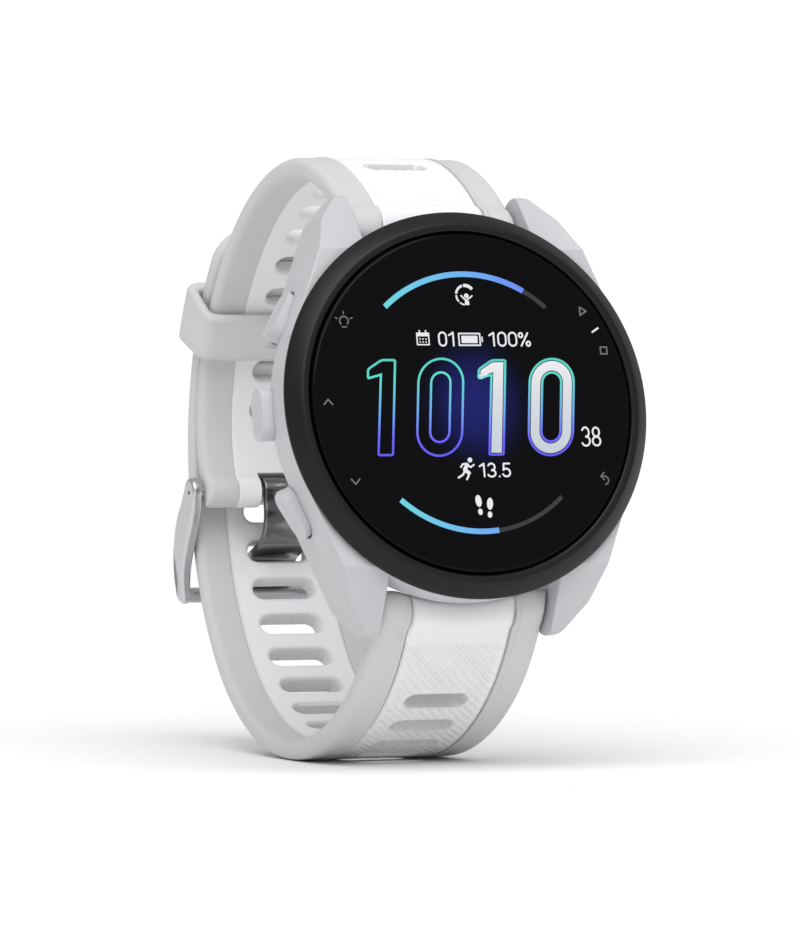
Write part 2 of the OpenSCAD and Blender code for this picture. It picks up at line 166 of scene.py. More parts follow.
class WatchColours(bpy.types.PropertyGroup):
    """Colours of the watch that a maker may change"""

    strap_grey: colour("Strap Grey", "Silicone of the strap's edges and the keeper", 205, 205, 206)
    core_white: colour("Core White", "Silicone of the strap's middle", 238, 238, 240)
    case_grey: colour("Case Grey", "Moulded case and lugs", 193, 192, 196)
    button_grey: colour("Button Grey", "Caps of the buttons", 194, 194, 198)
    bezel_black: colour("Bezel Black", "Anodised bezel", 11, 11, 13)
    glass_black: colour("Glass Black", "Display glass when dark", 6, 6, 8)
    glow_blue: colour("Glow Blue", "Glow behind the time", 27, 33, 110)
    display_top: colour("Display Top", "Top of the digits' outline", 96, 222, 205)
    display_middle: colour("Display Middle", "Middle of the digits' outline", 112, 172, 238)
    display_foot: colour("Display Foot", "Foot of the digits' outline", 98, 92, 232)
    display_white: colour("Display White", "White of the figures", 236, 238, 242)
    steel: colour("Steel", "Brushed steel of the buckle", 188, 188, 191)


def sizes():
    """The sizes as plain numbers in millimetres."""
    group = bpy.context.scene.watch_sizes
    return {name: getattr(group, name) / (1 if name == "lathe_steps" else MM)
            for name in WatchSizes.__annotations__}


# ---- Node groups: effects that several materials share ----
def new_group(name, inputs, outputs):
    """A shader node group with its inputs (name, type, default) and outputs (name, type)."""
    group = bpy.data.node_groups.new(name, "ShaderNodeTree")
    for label, kind, default in inputs:
        socket = group.interface.new_socket(label, in_out="INPUT", socket_type="NodeSocket" + kind)
        if default is not None:
            socket.default_value = default
    for label, kind in outputs:
        group.interface.new_socket(label, in_out="OUTPUT", socket_type="NodeSocket" + kind)
    return group, group.nodes.new("NodeGroupInput"), group.nodes.new("NodeGroupOutput")


def add(tree, kind, links=(), **values):
    """A node with its properties set and its inputs linked: links are (input, source socket)."""
    node = tree.nodes.new("ShaderNode" + kind)
    for key, value in values.items():
        setattr(node, key, value)
    for socket, source in links:
        if isinstance(source, bpy.types.NodeSocket):
            tree.links.new(source, node.inputs[socket])
        else:
            node.inputs[socket].default_value = source
    return node


def grain_group():
    """Moulded or moulded-then-polished grain: fine speckle with slow cloudiness under it."""
    group, entry, out = new_group("Moulded Grain", [("Vector", "Vector", None), ("Scale", "Float", 3000.0),
                                                    ("Cloud Scale", "Float", 90.0),
                                                    ("Cloud Amount", "Float", 0.5)],
                                  [("Grain", "Float"), ("Cloud", "Float")])
    fine = add(group, "TexNoise", [("Vector", entry.outputs["Vector"]), ("Scale", entry.outputs["Scale"]),
                                   ("Detail", 3.0), ("Roughness", 0.6)])
    slow = add(group, "TexNoise", [("Vector", entry.outputs["Vector"]),
                                   ("Scale", entry.outputs["Cloud Scale"]), ("Detail", 2.0)])
    centred = add(group, "Math", [(0, slow.outputs["Fac"]), (1, 0.5)], operation="SUBTRACT")
    scaled = add(group, "Math", [(0, centred.outputs[0]), (1, entry.outputs["Cloud Amount"])],
                 operation="MULTIPLY")
    group.links.new(fine.outputs["Fac"], out.inputs["Grain"])
    group.links.new(scaled.outputs[0], out.inputs["Cloud"])
    return group


def wear_highlight_and_shade_group():
    """Masks from the shape's own curvature: for an edge that stands proud (wear and painted highlight), and
    for a hollow (painted shade).
    """
    group, entry, out = new_group("Edge Wear Highlight And Hollow Shade", [("Vector", "Vector", None), ("Breakup", "Float", 400.0)],
                                  [("Edge", "Float"), ("Hollow", "Float")])
    shape = add(group, "NewGeometry")
    noise = add(group, "TexNoise", [("Vector", entry.outputs["Vector"]), ("Scale", entry.outputs["Breakup"])])
    # edges that stand proud: partly wear, partly painted highlight
    edge = add(group, "MapRange", [("Value", shape.outputs["Pointiness"]), ("From Min", 0.51),
                                   ("From Max", 0.6)])
    worn_highlight = add(group, "Math", [(0, edge.outputs[0]), (1, noise.outputs["Fac"])], operation="MULTIPLY")
    # hollows: painted shade
    hollow = add(group, "MapRange", [("Value", shape.outputs["Pointiness"]), ("From Min", 0.49),
                                     ("From Max", 0.42)])
    group.links.new(worn_highlight.outputs[0], out.inputs["Edge"])
    group.links.new(hollow.outputs[0], out.inputs["Hollow"])
    return group


def brushed_group():
    """Fine parallel brushing: noise drawn out along one direction of the piece."""
    group, entry, out = new_group("Brushed Lines", [("Vector", "Vector", None),
                                                    ("Stretch", "Vector", (60, 6000, 6000)),
                                                    ("Amount", "Float", 1.0)],
                                  [("Height", "Float"), ("Tone", "Float")])
    stretched = add(group, "VectorMath", [(0, entry.outputs["Vector"]), (1, entry.outputs["Stretch"])],
                    operation="MULTIPLY")
    lines = add(group, "TexNoise", [("Vector", stretched.outputs[0]), ("Scale", 1.0), ("Detail", 4.0)])
    scaled = add(group, "Math", [(0, lines.outputs["Fac"]), (1, entry.outputs["Amount"])],
                 operation="MULTIPLY")
    group.links.new(scaled.outputs[0], out.inputs["Height"])
    group.links.new(lines.outputs["Fac"], out.inputs["Tone"])
    return group


GROUPS = {}


def shared(tree, name, make, **inputs):
    """The node for a shared effect, with this material's own values."""
    if name not in GROUPS:
        GROUPS[name] = make()
    node = tree.nodes.new("ShaderNodeGroup")
    node.node_tree = GROUPS[name]
    for label, value in inputs.items():
        socket = node.inputs[label.replace("_", " ")]
        if isinstance(value, bpy.types.NodeSocket):
            tree.links.new(value, socket)
        else:
            socket.default_value = value
    return node


# ---- Materials ----
MATERIALS = {}


def tint(tree, base, factor, target):
    """base moved towards target by a mask."""
    mix = tree.nodes.new("ShaderNodeMix")
    mix.data_type = "RGBA"
    tree.links.new(factor, mix.inputs["Factor"])
    for socket, value in ((mix.inputs["A"], base), (mix.inputs["B"], target)):
        if isinstance(value, bpy.types.NodeSocket):
            tree.links.new(value, socket)
        else:
            socket.default_value = (*value, 1)
    return mix.outputs["Result"]


def shade(base, factor):
    return tuple(min(1.0, c * factor) for c in base)


def finish_material(name, base, roughness=0.5, metallic=0.0, grain=3000.0, bump=0.08, variation=0.06,
                    specular=0.5, edge_wear_and_highlight=0.0, hollow_shade=0.0, brushed=None, sheen=0.0, coat=0.0, cloud=90.0,
                    bump_size=0.00002):
    """A material with grain, slow colour variation, edges lightened as wear and painted highlight, and
    painted shade in its hollows.
    """
    if name in MATERIALS:
        return MATERIALS[name]
    material = bpy.data.materials.new(name)
    material.use_nodes = True
    tree = material.node_tree
    surface = tree.nodes["Principled BSDF"]
    vector = add(tree, "TexCoord").outputs["Object"]
    grained = shared(tree, "grain", grain_group, Vector=vector, Scale=grain, Cloud_Scale=cloud,
                     Cloud_Amount=1.0)
    cloud_mask = add(tree, "MapRange", [("Value", grained.outputs["Cloud"]), ("From Min", -0.35),
                                        ("From Max", 0.35)])
    shown = tint(tree, shade(base, 1 - variation), cloud_mask.outputs[0], shade(base, 1 + variation))
    if edge_wear_and_highlight or hollow_shade:
        wear_and_shade_masks = shared(tree, "edge_wear_and_highlight", wear_highlight_and_shade_group, Vector=vector)
    # edges lightened towards white: partly wear, partly painted highlight
    if edge_wear_and_highlight:
        edge = add(tree, "Math", [(0, wear_and_shade_masks.outputs["Edge"]), (1, edge_wear_and_highlight)], operation="MULTIPLY")
        shown = tint(tree, shown, edge.outputs[0], tuple(c + (1 - c) * 0.35 for c in base))
    # hollows darkened to 0.55 of the colour: painted shade
    if hollow_shade:
        hollow = add(tree, "Math", [(0, wear_and_shade_masks.outputs["Hollow"]), (1, hollow_shade)], operation="MULTIPLY")
        shown = tint(tree, shown, hollow.outputs[0], shade(base, 0.55))
    height = grained.outputs["Grain"]
    if brushed:
        lines = shared(tree, "brushed", brushed_group, Vector=vector, Stretch=brushed, Amount=1.0)
        height = lines.outputs["Height"]
        shown = tint(tree, shown, lines.outputs["Tone"], shade(base, 1.35))
    rough = add(tree, "MapRange", [("Value", height), ("To Min", max(0.0, roughness - 0.08)),
                                   ("To Max", min(1.0, roughness + 0.08))])
    relief = add(tree, "Bump", [("Height", height), ("Strength", bump), ("Distance", bump_size)])
    tree.links.new(shown, surface.inputs["Base Color"])
    tree.links.new(rough.outputs[0], surface.inputs["Roughness"])
    tree.links.new(relief.outputs[0], surface.inputs["Normal"])
    surface.inputs["Metallic"].default_value = metallic
    surface.inputs["Specular IOR Level"].default_value = specular
    surface.inputs["Sheen Weight"].default_value = sheen
    surface.inputs["Sheen Roughness"].default_value = 0.5
    surface.inputs["Coat Weight"].default_value = coat
    surface.inputs["Coat Roughness"].default_value = 0.08
    MATERIALS[name] = material
    return material


def display_glass(palette):
    """Dark glass over a display, with a soft blue glow behind the middle of the dial."""
    material = finish_material("display_glass", palette.glass_black, roughness=0.12, specular=0.1, grain=900,
                               bump=0.01, variation=0.1, cloud=60)
    tree = material.node_tree
    surface = tree.nodes["Principled BSDF"]
    vector = add(tree, "TexCoord").outputs["Object"]
    centre = HEAD @ Vector((0.3, 0.0, 1.85)) * MM
    placed = add(tree, "Mapping", [("Vector", vector)], vector_type="TEXTURE")
    placed.inputs["Location"].default_value = centre
    placed.inputs["Scale"].default_value = (0.0076, 0.0076, 0.0088)
    ball = add(tree, "TexGradient", [("Vector", placed.outputs[0])], gradient_type="SPHERICAL")
    soft = add(tree, "MapRange", [("Value", ball.outputs["Fac"])], interpolation_type="SMOOTHERSTEP")
    glow = tint(tree, (0, 0, 0), soft.outputs[0], palette.glow_blue)
    tree.links.new(glow, surface.inputs["Emission Color"])
    surface.inputs["Emission Strength"].default_value = 0.9
    return material


def lit_material(name, stops, along, low, high):
    """Light from the display: a gradient of colours along one axis, from low to high in metres."""
    if name in MATERIALS:
        return MATERIALS[name]
    material = bpy.data.materials.new(name)
    material.use_nodes = True
    tree = material.node_tree
    surface = tree.nodes["Principled BSDF"]
    split = add(tree, "SeparateXYZ", [("Vector", add(tree, "TexCoord").outputs["Object"])])
    at = add(tree, "MapRange", [("Value", split.outputs[along]), ("From Min", low), ("From Max", high)])
    ramp = add(tree, "ValToRGB", [("Fac", at.outputs[0])])
    while len(ramp.color_ramp.elements) < len(stops):
        ramp.color_ramp.elements.new(0.5)
    for element, (place, value) in zip(ramp.color_ramp.elements, stops):
        element.position = place
        element.color = (*value, 1)
    surface.inputs["Base Color"].default_value = (0.002, 0.002, 0.003, 1)
    surface.inputs["Roughness"].default_value = 0.3
    surface.inputs["Specular IOR Level"].default_value = 0.1
    tree.links.new(ramp.outputs["Color"], surface.inputs["Emission Color"])
    surface.inputs["Emission Strength"].default_value = 1.0
    MATERIALS[name] = material
    return material


# ---- Mesh helpers ----
def close_shape(bm, tolerance=1e-4):
    """Merges doubles and turns every face outwards."""
    bmesh.ops.remove_doubles(bm, verts=bm.verts, dist=tolerance)
    bmesh.ops.dissolve_degenerate(bm, dist=tolerance, edges=bm.edges)
    bmesh.ops.recalc_face_normals(bm, faces=bm.faces)


def verts_of(geom):
    return [v for v in geom if isinstance(v, bmesh.types.BMVert)]


def pull_out(bm, faces, move):
    """Makes flat faces solid by drawing them out along a direction."""
    grown = bmesh.ops.extrude_face_region(bm, geom=faces)["geom"]
    bmesh.ops.translate(bm, vec=move, verts=verts_of(grown))


def round_edges(bm, edges, offset, segments):
    bmesh.ops.bevel(bm, geom=edges, offset=offset, segments=segments, profile=0.5, affect="EDGES",
                    clamp_overlap=True, material=-1)


def make_piece(bm, name, material, body=None, stands_for=(), place=None, crease=32, weighted=False):
    """Finishes a piece: placed, scaled to metres, smooth-shaded, and riding on its body."""
    if place is not None:
        bmesh.ops.transform(bm, matrix=place, verts=bm.verts)
    bmesh.ops.scale(bm, vec=(MM, MM, MM), verts=bm.verts)
    mesh = bpy.data.meshes.new(name)
    bm.to_mesh(mesh)
    bm.free()
    mesh.shade_smooth()
    mesh.set_sharp_from_angle(angle=math.radians(crease))
    mesh.materials.append(material)
    obj = bpy.data.objects.new(name, mesh)
    bpy.context.scene.collection.objects.link(obj)
    if weighted:
        even = obj.modifiers.new("Even Shading", "WEIGHTED_NORMAL")
        even.keep_sharp = True
    if stands_for:
        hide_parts(*stands_for)
    if body:
        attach(obj, body)
    return obj


def turned(bm, profile, steps, closed=True):
    """A lathe piece: the profile of (radius, height) turned about the dial's own axis."""
    verts = [bm.verts.new((r, 0, w)) for r, w in profile]
    edges = [bm.edges.new(pair) for pair in zip(verts, verts[1:] + (verts[:1] if closed else []))
             if pair[0] is not pair[1]]
    bmesh.ops.spin(bm, geom=verts + edges, cent=(0, 0, 0), axis=(0, 0, 1), angle=2 * math.pi,
                   steps=int(steps), use_merge=True)


def inset_from(rim, insets):
    """A profile given as (inset, height) from the rim, as (radius, height)."""
    return [(rim - inset, height) for inset, height in insets]


def rounded(points, radii, segments=3):
    """A closed outline with its corners rounded; radii is one number or one for each corner."""
    count = len(points)
    radii = [radii] * count if isinstance(radii, (int, float)) else radii
    bm = bmesh.new()
    verts = [bm.verts.new((x, y, 0)) for x, y in points]
    bm.faces.new(verts)
    for size in sorted(set(radii) - {0}):
        chosen = [v for v, r in zip(verts, radii) if r == size and v.is_valid]
        bmesh.ops.bevel(bm, geom=chosen, offset=size, segments=segments, profile=0.5, affect="VERTICES",
                        clamp_overlap=True, material=-1)
    face = next(f for f in bm.faces)
    outline = [tuple(loop.vert.co[:2]) for loop in face.loops]
    bm.free()
    return outline


def outline_face(bm, outline, height=0.0):
    return bm.faces.new([bm.verts.new((x, y, height)) for x, y in outline])


def slab(bm, outline, low, high, bevel=0.0, segments=3):
    """An outline made solid from low to high, with rounded rims."""
    pull_out(bm, [outline_face(bm, outline, low)], (0, 0, high - low))
    bmesh.ops.recalc_face_normals(bm, faces=bm.faces)
    if bevel:
        rims = [e for e in bm.edges if abs(e.verts[0].co.z - e.verts[1].co.z) < 1e-6]
        round_edges(bm, rims, bevel, segments)


def boolean(obj, cutter, operation):
    """The result of a boolean on obj's mesh, kept as its mesh; the cutter is removed."""
    tool = obj.modifiers.new(operation.title(), "BOOLEAN")
    tool.operation, tool.object, tool.solver = operation, cutter, "EXACT"
    evaluated = obj.evaluated_get(bpy.context.evaluated_depsgraph_get())
    result = bpy.data.meshes.new_from_object(evaluated)
    obj.modifiers.remove(tool)
    obj.data = result
    bpy.data.objects.remove(cutter)


def scratch_object(bm, name):
    mesh = bpy.data.meshes.new(name)
    bm.to_mesh(mesh)
    bm.free()
    obj = bpy.data.objects.new(name, mesh)
    bpy.context.scene.collection.objects.link(obj)
    return obj


# ---- Strap ----
def lean_point(v, w):
    """(back, up) from the dial's centre of a point at height v and depth w in the head."""
    return (v * math.sin(DIAL_LEAN) - w * math.cos(DIAL_LEAN),
            v * math.cos(DIAL_LEAN) + w * math.sin(DIAL_LEAN))


def on_wrap(radius, angle, turn):
    a = math.radians(angle)
    return (WRAP_CENTRE[0] + radius * math.cos(a), WRAP_CENTRE[1] + radius * math.sin(a), angle + 90 * turn)


def direction(angle):
    return Vector((math.cos(angle), math.sin(angle)))


class ArcPath:
    """A chain of arcs through knots of (back, up, heading in degrees).

    side is the side of the path that the outer face is on: 1 left, -1 right.
    """

    def __init__(self, knots, side=1):
        self.arcs, self.length, self.side, self.known = [], 0.0, side, {}
        for a, b in zip(knots, knots[1:]):
            p, q = Vector(a[:2]), Vector(b[:2])
            ta, tb = direction(math.radians(a[2])), direction(math.radians(b[2]))
            t, v = ta + tb, q - p
            f = 4 - t.dot(t)
            d = (-v.dot(t) + math.sqrt(v.dot(t) ** 2 + f * v.dot(v))) / f
            middle = (p + q + d * (ta - tb)) / 2
            self.add_arc(middle, q, self.add_arc(p, middle, math.radians(a[2])))

    def add_arc(self, p, q, heading):
        along, across, v = direction(heading), direction(heading + math.pi / 2), q - p
        turn = 2 * math.atan2(across.dot(v), along.dot(v))
        run = v.length if abs(turn) < 1e-9 else abs(turn) * v.length / (2 * math.sin(abs(turn) / 2))
        self.arcs.append((self.length, p.copy(), heading, turn / run))
        self.length += run
        return heading + turn

    def at(self, s):
        """(point, normal towards the outer face) at a distance, running straight on past the ends."""
        key = round(s, 5)
        if key not in self.known:
            inside = min(max(s, 0.0), self.length)
            start, p, heading, bend = next(arc for arc in reversed(self.arcs) if arc[0] <= inside + 1e-9)
            run = inside - start
            if abs(bend) > 1e-9:
                across = direction(heading + math.pi / 2) / bend
                heading += bend * run
                p = p + across - direction(heading + math.pi / 2) / bend
            else:
                p = p + direction(heading) * run
            self.known[key] = (p + direction(heading) * (s - inside),
                               direction(heading + math.pi / 2) * self.side)
        return self.known[key]

    def bend(self, bm):
        """Bends a flat mesh (across, along, out) round the path, and into the row frame."""
        for v in bm.verts:
            p, out = self.at(v.co.y)
            p = p + out * v.co.z
            v.co = (v.co.x, p.x + DIAL_BACK, p.y + DIAL_HEIGHT)


TOP_BAR = lean_point(SPRING_BAR_V, SPRING_BAR_W)
LOW_BAR = lean_point(-SPRING_BAR_V, SPRING_BAR_W)
UPPER_PATH = ArcPath([(*TOP_BAR, 40.6), (30.2, 26.3, -10.7), on_wrap(INNER_WRAP_R, 32.7, -1),
                      on_wrap(INNER_WRAP_R, 7.8, -1), (*BUCKLE_AT, -114.8)])
LOWER_PATH = ArcPath([(*LOW_BAR, -65.6), (20, -37.8, -16.4), (49, -30, 48.3), on_wrap(OUTER_WRAP_R, -0.8, 1),
                      on_wrap(OUTER_WRAP_R, 32.8, 1), (46.6, 20.6, 144)], side=-1)
UPPER_SLOTS = [10.6 + 4.95 * i for i in range(11)]
LOWER_SLOTS = [11.2 + 4.87 * i for i in range(19)]


def drop(depth, radius):
    """How far a rounded edge has fallen at a depth inside the edge."""
    inside = min(max(depth, 0.0), radius)
    return radius - math.sqrt(max(0.0, radius * radius - (radius - inside) ** 2))


def ease(value, low, high):
    t = min(max((value - low) / (high - low), 0.0), 1.0)
    return t * t * (3 - 2 * t)


def stations(run, step, nose, tail=0.0):
    """Distances along a strap: close together round its nose, and round its tail where it has an eye."""
    rows = [-nose * math.cos(math.radians(a)) for a in (8, 22, 36, 50, 64, 78)]
    count = round(run / step)
    rows += [run * i / count for i in range(count + 1)]
    if tail:
        rows += [run + tail * math.sin(math.radians(a)) for a in (12, 26, 40, 54, 68, 82)]
    return rows


def grid(bm, columns, rows):
    """A flat sheet whose columns and rows stand at given places."""
    nx, ny = len(columns) - 1, len(rows) - 1
    bmesh.ops.create_grid(bm, x_segments=nx, y_segments=ny, size=0.5)
    for v in bm.verts:
        v.co = (columns[round((v.co.x + 0.5) * nx)], rows[round((v.co.y + 0.5) * ny)], 0)


def cut_sheet(bm, distance, cell):
    """Removes the part of a flat sheet where distance is below zero, leaving a clean rim along the cut."""
    rim, tiny = set(), 1e-3
    for v in bm.verts:
        x, y = v.co.x, v.co.y
        d = distance(x, y)
        if abs(d) < cell * 0.52:
            slope = Vector(((distance(x + tiny, y) - distance(x - tiny, y)) / (2 * tiny),
                            (distance(x, y + tiny) - distance(x, y - tiny)) / (2 * tiny), 0))
            if slope.length > 0.5:
                v.co -= slope.normalized() * d
            rim.add(v)
    for face in list(bm.faces):
        ring = list(face.verts)
        if len(ring) != 4:
            continue
        for a in (0, 1):
            if ring[a] in rim and ring[a + 2] in rim:
                b, c = ring[(a + 1) % 4], ring[(a + 3) % 4]
                if b not in rim and c not in rim and distance(*b.co[:2]) * distance(*c.co[:2]) < 0:
                    bmesh.utils.face_split(face, ring[a], ring[a + 2])
                    break
    gone = []
    for face in bm.faces:
        free = [v for v in face.verts if v not in rim]
        places = [v.co for v in free] or [face.calc_center_median()]
        if sum(distance(p.x, p.y) for p in places) < 0:
            gone.append(face)
    bmesh.ops.delete(bm, geom=gone, context="FACES")


def thicken(bm, outer, inner):
    """Makes a flat sheet solid: outer and inner give the height of each face at (across, along)."""
    grown = bmesh.ops.extrude_face_region(bm, geom=list(bm.faces))["geom"]
    tops = set(verts_of(grown))
    for v in bm.verts:
        v.co.z = outer(v.co.x, v.co.y) if v in tops else inner(v.co.x, v.co.y)


def hug(bm):
    """Draws a strap's nose out towards its sides, so that it follows the round case."""
    for v in bm.verts:
        if v.co.y < NOSE_RUN:
            fall = CASE_R - math.sqrt(CASE_R * CASE_R - v.co.x * v.co.x)
            reach = min(NOSE_REACH, NOSE_FOLLOW * fall)
            v.co.y -= reach * (NOSE_RUN - v.co.y) / (NOSE_RUN + LUG_EYE_R)


def slot_distance(slots, half_l, half_h):
    """Distance to the nearest slot's edge, below zero inside it."""
    pitch = slots[1] - slots[0]

    def distance(x, y):
        nearest = slots[min(max(round((y - slots[0]) / pitch), 0), len(slots) - 1)]
        return math.hypot(max(abs(x) - (half_l - half_h), 0.0), y - nearest) - half_h
    return distance


def core_edge(half_w, end, corner):
    """Distance to the core's own outline, below zero inside it; the tail end has rounded corners."""
    def distance(x, y):
        over_x, over_y = abs(x) - (half_w - corner), y - (end - corner)
        if end > 1e3 or over_y < -corner:
            return abs(x) - half_w
        return math.hypot(max(over_x, 0.0), max(over_y, 0.0)) + min(max(over_x, over_y), 0.0) - corner
    return distance


def swell(path, half_t, nose, tail):
    """How much thicker than the strap it is at a distance: it swells round its bar and its buckle pin."""
    def factor(y):
        half = half_t
        for start, radius in ((-y, nose), (y - path.length, tail)):
            if radius and abs(start) < radius:
                round_part = math.sqrt(radius * radius - start * start)
                half = round_part if start > 0 else max(half, round_part)
        return half / half_t
    return factor


def strap_core(name, path, slots, size, material, body, node, slant, tail_eye=0.0, end=1e9, notch=None):
    """The pale middle of one strap: ribbed outside, plain inside, with rounded slots through it."""
    half_w, half_t, lip = size["core_w"] / 2, size["strap_t"] / 2, size["slot_lip"]
    thick = swell(path, half_t, LUG_EYE_R, tail_eye)
    hole = slot_distance(slots, size["slot_l"] / 2, size["slot_h"] / 2)
    outline = core_edge(half_w, end, CORE_TAIL_R)
    step_count = round(2 * half_w / CORE_CELL)
    columns = [-half_w + 2 * half_w * i / step_count for i in range(step_count + 1)]
    rows = [y for y in stations(path.length, CORE_CELL, LUG_EYE_R, tail_eye) if y < end + CORE_CELL]

    def distance(x, y):
        d = min(hole(x, y), -outline(x, y))
        if notch:
            d = min(d, max(abs(x) - notch[0], notch[1] - y))
        return d

    def outer(x, y):
        groove = abs(((x - slant * y) / math.sqrt(2) / size["rib_pitch"]) % 1 - 0.5) * 2
        # the ribs fade out at both ends, beside the grey edges and round each slot
        ribbed = ease(y, SMOOTH_LEAD, SMOOTH_LEAD + 0.7) * ease(path.length - y, 3.0, 5.0)
        ribbed *= ease(-outline(x, y), 0.3, 0.8)
        ribbed *= ease(hole(x, y), 0.1, 0.5)
        height = half_t - 0.05 - size["rib_depth"] * ribbed * max(0.0, 1 - groove / GROOVE_SHARE)
        return (height - drop(distance(x, y), lip * 0.35)) * thick(y)

    def inner(x, y):
        return -(half_t - 0.04 - drop(min(hole(x, y), 9.0), lip) - drop(-outline(x, y), 0.16)) * thick(y)

    bm = bmesh.new()
    grid(bm, columns, rows)
    cut_sheet(bm, distance, CORE_CELL)
    thicken(bm, outer, inner)
    hug(bm)
    path.bend(bm)
    bmesh.ops.recalc_face_normals(bm, faces=bm.faces)
    return make_piece(bm, name, material, body, [node], crease=48)


def strap_edges(name, path, size, material, body, node, tail_eye=0.0, tail_round=0.0):
    """The grey edges of one strap, with a groove and a fine bead beside the core.

    tail_round is the radius of the tail that joins them, or zero for a strap that has none.
    """
    half_w, half_t, core = size["strap_w"] / 2, size["strap_t"] / 2, size["core_w"] / 2 + CORE_GAP
    thick = swell(path, half_t, LUG_EYE_R, tail_eye)
    end = path.length - TAIL_BORDER if tail_round else 1e9
    outline = core_edge(core, end, CORE_TAIL_R)
    side = [core, core + 0.1, core + 0.2, core + 0.3, core + 0.42, core + 0.54, core + 0.66, core + 0.8,
            core + 1.2, core + 1.8, half_w - 1.4, half_w - 0.95, half_w - 0.7, half_w - 0.5, half_w - 0.32,
            half_w - 0.18, half_w - 0.08, half_w - 0.02, half_w]
    middle = [-core + 2 * core * i / 48 for i in range(1, 48)] if tail_round else []
    columns = [-x for x in reversed(side)] + middle + side
    rows = stations(path.length, 0.6, LUG_EYE_R, tail_eye)
    if tail_round:
        start = path.length - 12
        rows = [y for y in rows if y < start - 0.2] + [start + 12 * i / 48 for i in range(49)]

    def rim(x, y):
        if not tail_round:
            return half_w - abs(x)
        over_x, over_y = abs(x) - (half_w - tail_round), y - (path.length - tail_round)
        return tail_round - math.hypot(max(over_x, 0.0), max(over_y, 0.0)) - min(max(over_x, over_y), 0.0)

    def outer(x, y):
        from_core = outline(x, y)
        bead = ease(from_core, 0.06, 0.26) * (1 - ease(from_core, 0.5, 0.72))
        groove = 1 - ease(from_core, 0.02, 0.2)
        return (half_t - 0.1 + 0.14 * bead - 0.45 * groove - drop(rim(x, y), 0.95)) * thick(y)

    def inner(x, y):
        groove = 1 - ease(outline(x, y), 0.0, 0.16)
        return -(half_t - 0.03 - 0.12 * groove - drop(rim(x, y), 0.8)) * thick(y)

    bm = bmesh.new()
    grid(bm, columns, rows)
    cut_sheet(bm, outline, EDGE_CELL)
    if tail_round:
        for v in bm.verts:
            past = v.co.y - (path.length - tail_round)
            if past > 0:
                bulge = math.sqrt(max(0.0, tail_round * tail_round - past * past))
                v.co.x *= (half_w - tail_round + bulge) / half_w
    thicken(bm, outer, inner)
    hug(bm)
    path.bend(bm)
    bmesh.ops.remove_doubles(bm, verts=bm.verts, dist=1e-4)
    bmesh.ops.recalc_face_normals(bm, faces=bm.faces)
    return make_piece(bm, name, material, body, [node], crease=50)


# ---- Operators ----
class WATCH_OT_case(bpy.types.Operator):
    """Turn the case, add its four faceted lugs and cut the button recesses"""

    bl_idname = "watch.case"
    bl_label = "Case"

    def execute(self, context):
        size, palette = sizes(), context.scene.watch_colours
        rim = size["bezel_d"] / 2 - 0.3
        bm = bmesh.new()
        turned(bm, [(0, 0), *inset_from(rim, CASE_INSETS), (0, CASE_BACK)], size["lathe_steps"], closed=False)
        close_shape(bm)
        case = scratch_object(bm, "case_body")
        for across in (1, -1):
            for along in (1, -1):
                boolean(case, scratch_object(self.lug(size, across, along), "lug"), "UNION")
        hollow = bmesh.new()
        turned(hollow, CASE_HOLLOW, size["lathe_steps"], closed=False)
        close_shape(hollow)
        boolean(case, scratch_object(hollow, "hollow"), "DIFFERENCE")
        cutters = bmesh.new()
        for angle in BUTTON_ANGLES.values():
            pocket = bmesh.new()
            outline = pill_outline(size["button_l"] + POCKET_END_GAP, size["button_w"] + POCKET_SIDE_GAP)
            slab(pocket, outline, RECESS_R, POCKET_TOP)
            bmesh.ops.transform(pocket, matrix=button_frame(angle), verts=pocket.verts)
            mesh = bpy.data.meshes.new("pocket")
            pocket.to_mesh(mesh)
            pocket.free()
            cutters.from_mesh(mesh)
        boolean(case, scratch_object(cutters, "pockets"), "DIFFERENCE")
        bm = bmesh.new()
        bm.from_mesh(case.data)
        bpy.data.objects.remove(case)
        material = finish_material("case_plastic", palette.case_grey, roughness=0.42, grain=5200, bump=0.12,
                                   variation=0.02, edge_wear_and_highlight=0.35, hollow_shade=0.3, specular=0.4)
        make_piece(bm, "case_body", material, "case", ["case_middle"], HEAD, crease=30,
                   weighted=True)
        return {"FINISHED"}

    def lug(self, size, across, along):
        """One lug: its side outline made solid, then its outer faces cut and every edge rounded."""
        inner = size["strap_w"] / 2 + 0.2
        bm = bmesh.new()
        face = bm.faces.new([bm.verts.new((inner, v, w)) for v, w in LUG_SIDE])
        pull_out(bm, [face], (12, 0, 0))
        bmesh.ops.recalc_face_normals(bm, faces=bm.faces)
        for (x0, y0), (x1, y1) in zip(((inner, 24.6), *LUG_CUTS), LUG_CUTS):
            cut = bmesh.ops.bisect_plane(bm, geom=bm.verts[:] + bm.edges[:] + bm.faces[:], dist=1e-4,
                                         plane_co=(x0, y0, 0), plane_no=(y0 - y1, x1 - x0, 0),
                                         clear_outer=True)
            rims = [e for e in cut["geom_cut"] if isinstance(e, bmesh.types.BMEdge)]
            bmesh.ops.holes_fill(bm, edges=rims)
        bmesh.ops.dissolve_limit(bm, angle_limit=0.02, verts=bm.verts, edges=bm.edges)
        bmesh.ops.recalc_face_normals(bm, faces=bm.faces)
        outside = [e for e in bm.edges if max(v.co.y for v in e.verts) > 9]
        round_edges(bm, outside, 0.18, 3)
        bmesh.ops.scale(bm, vec=(across, along, 1), verts=bm.verts)
        bmesh.ops.recalc_face_normals(bm, faces=bm.faces)
        return bm


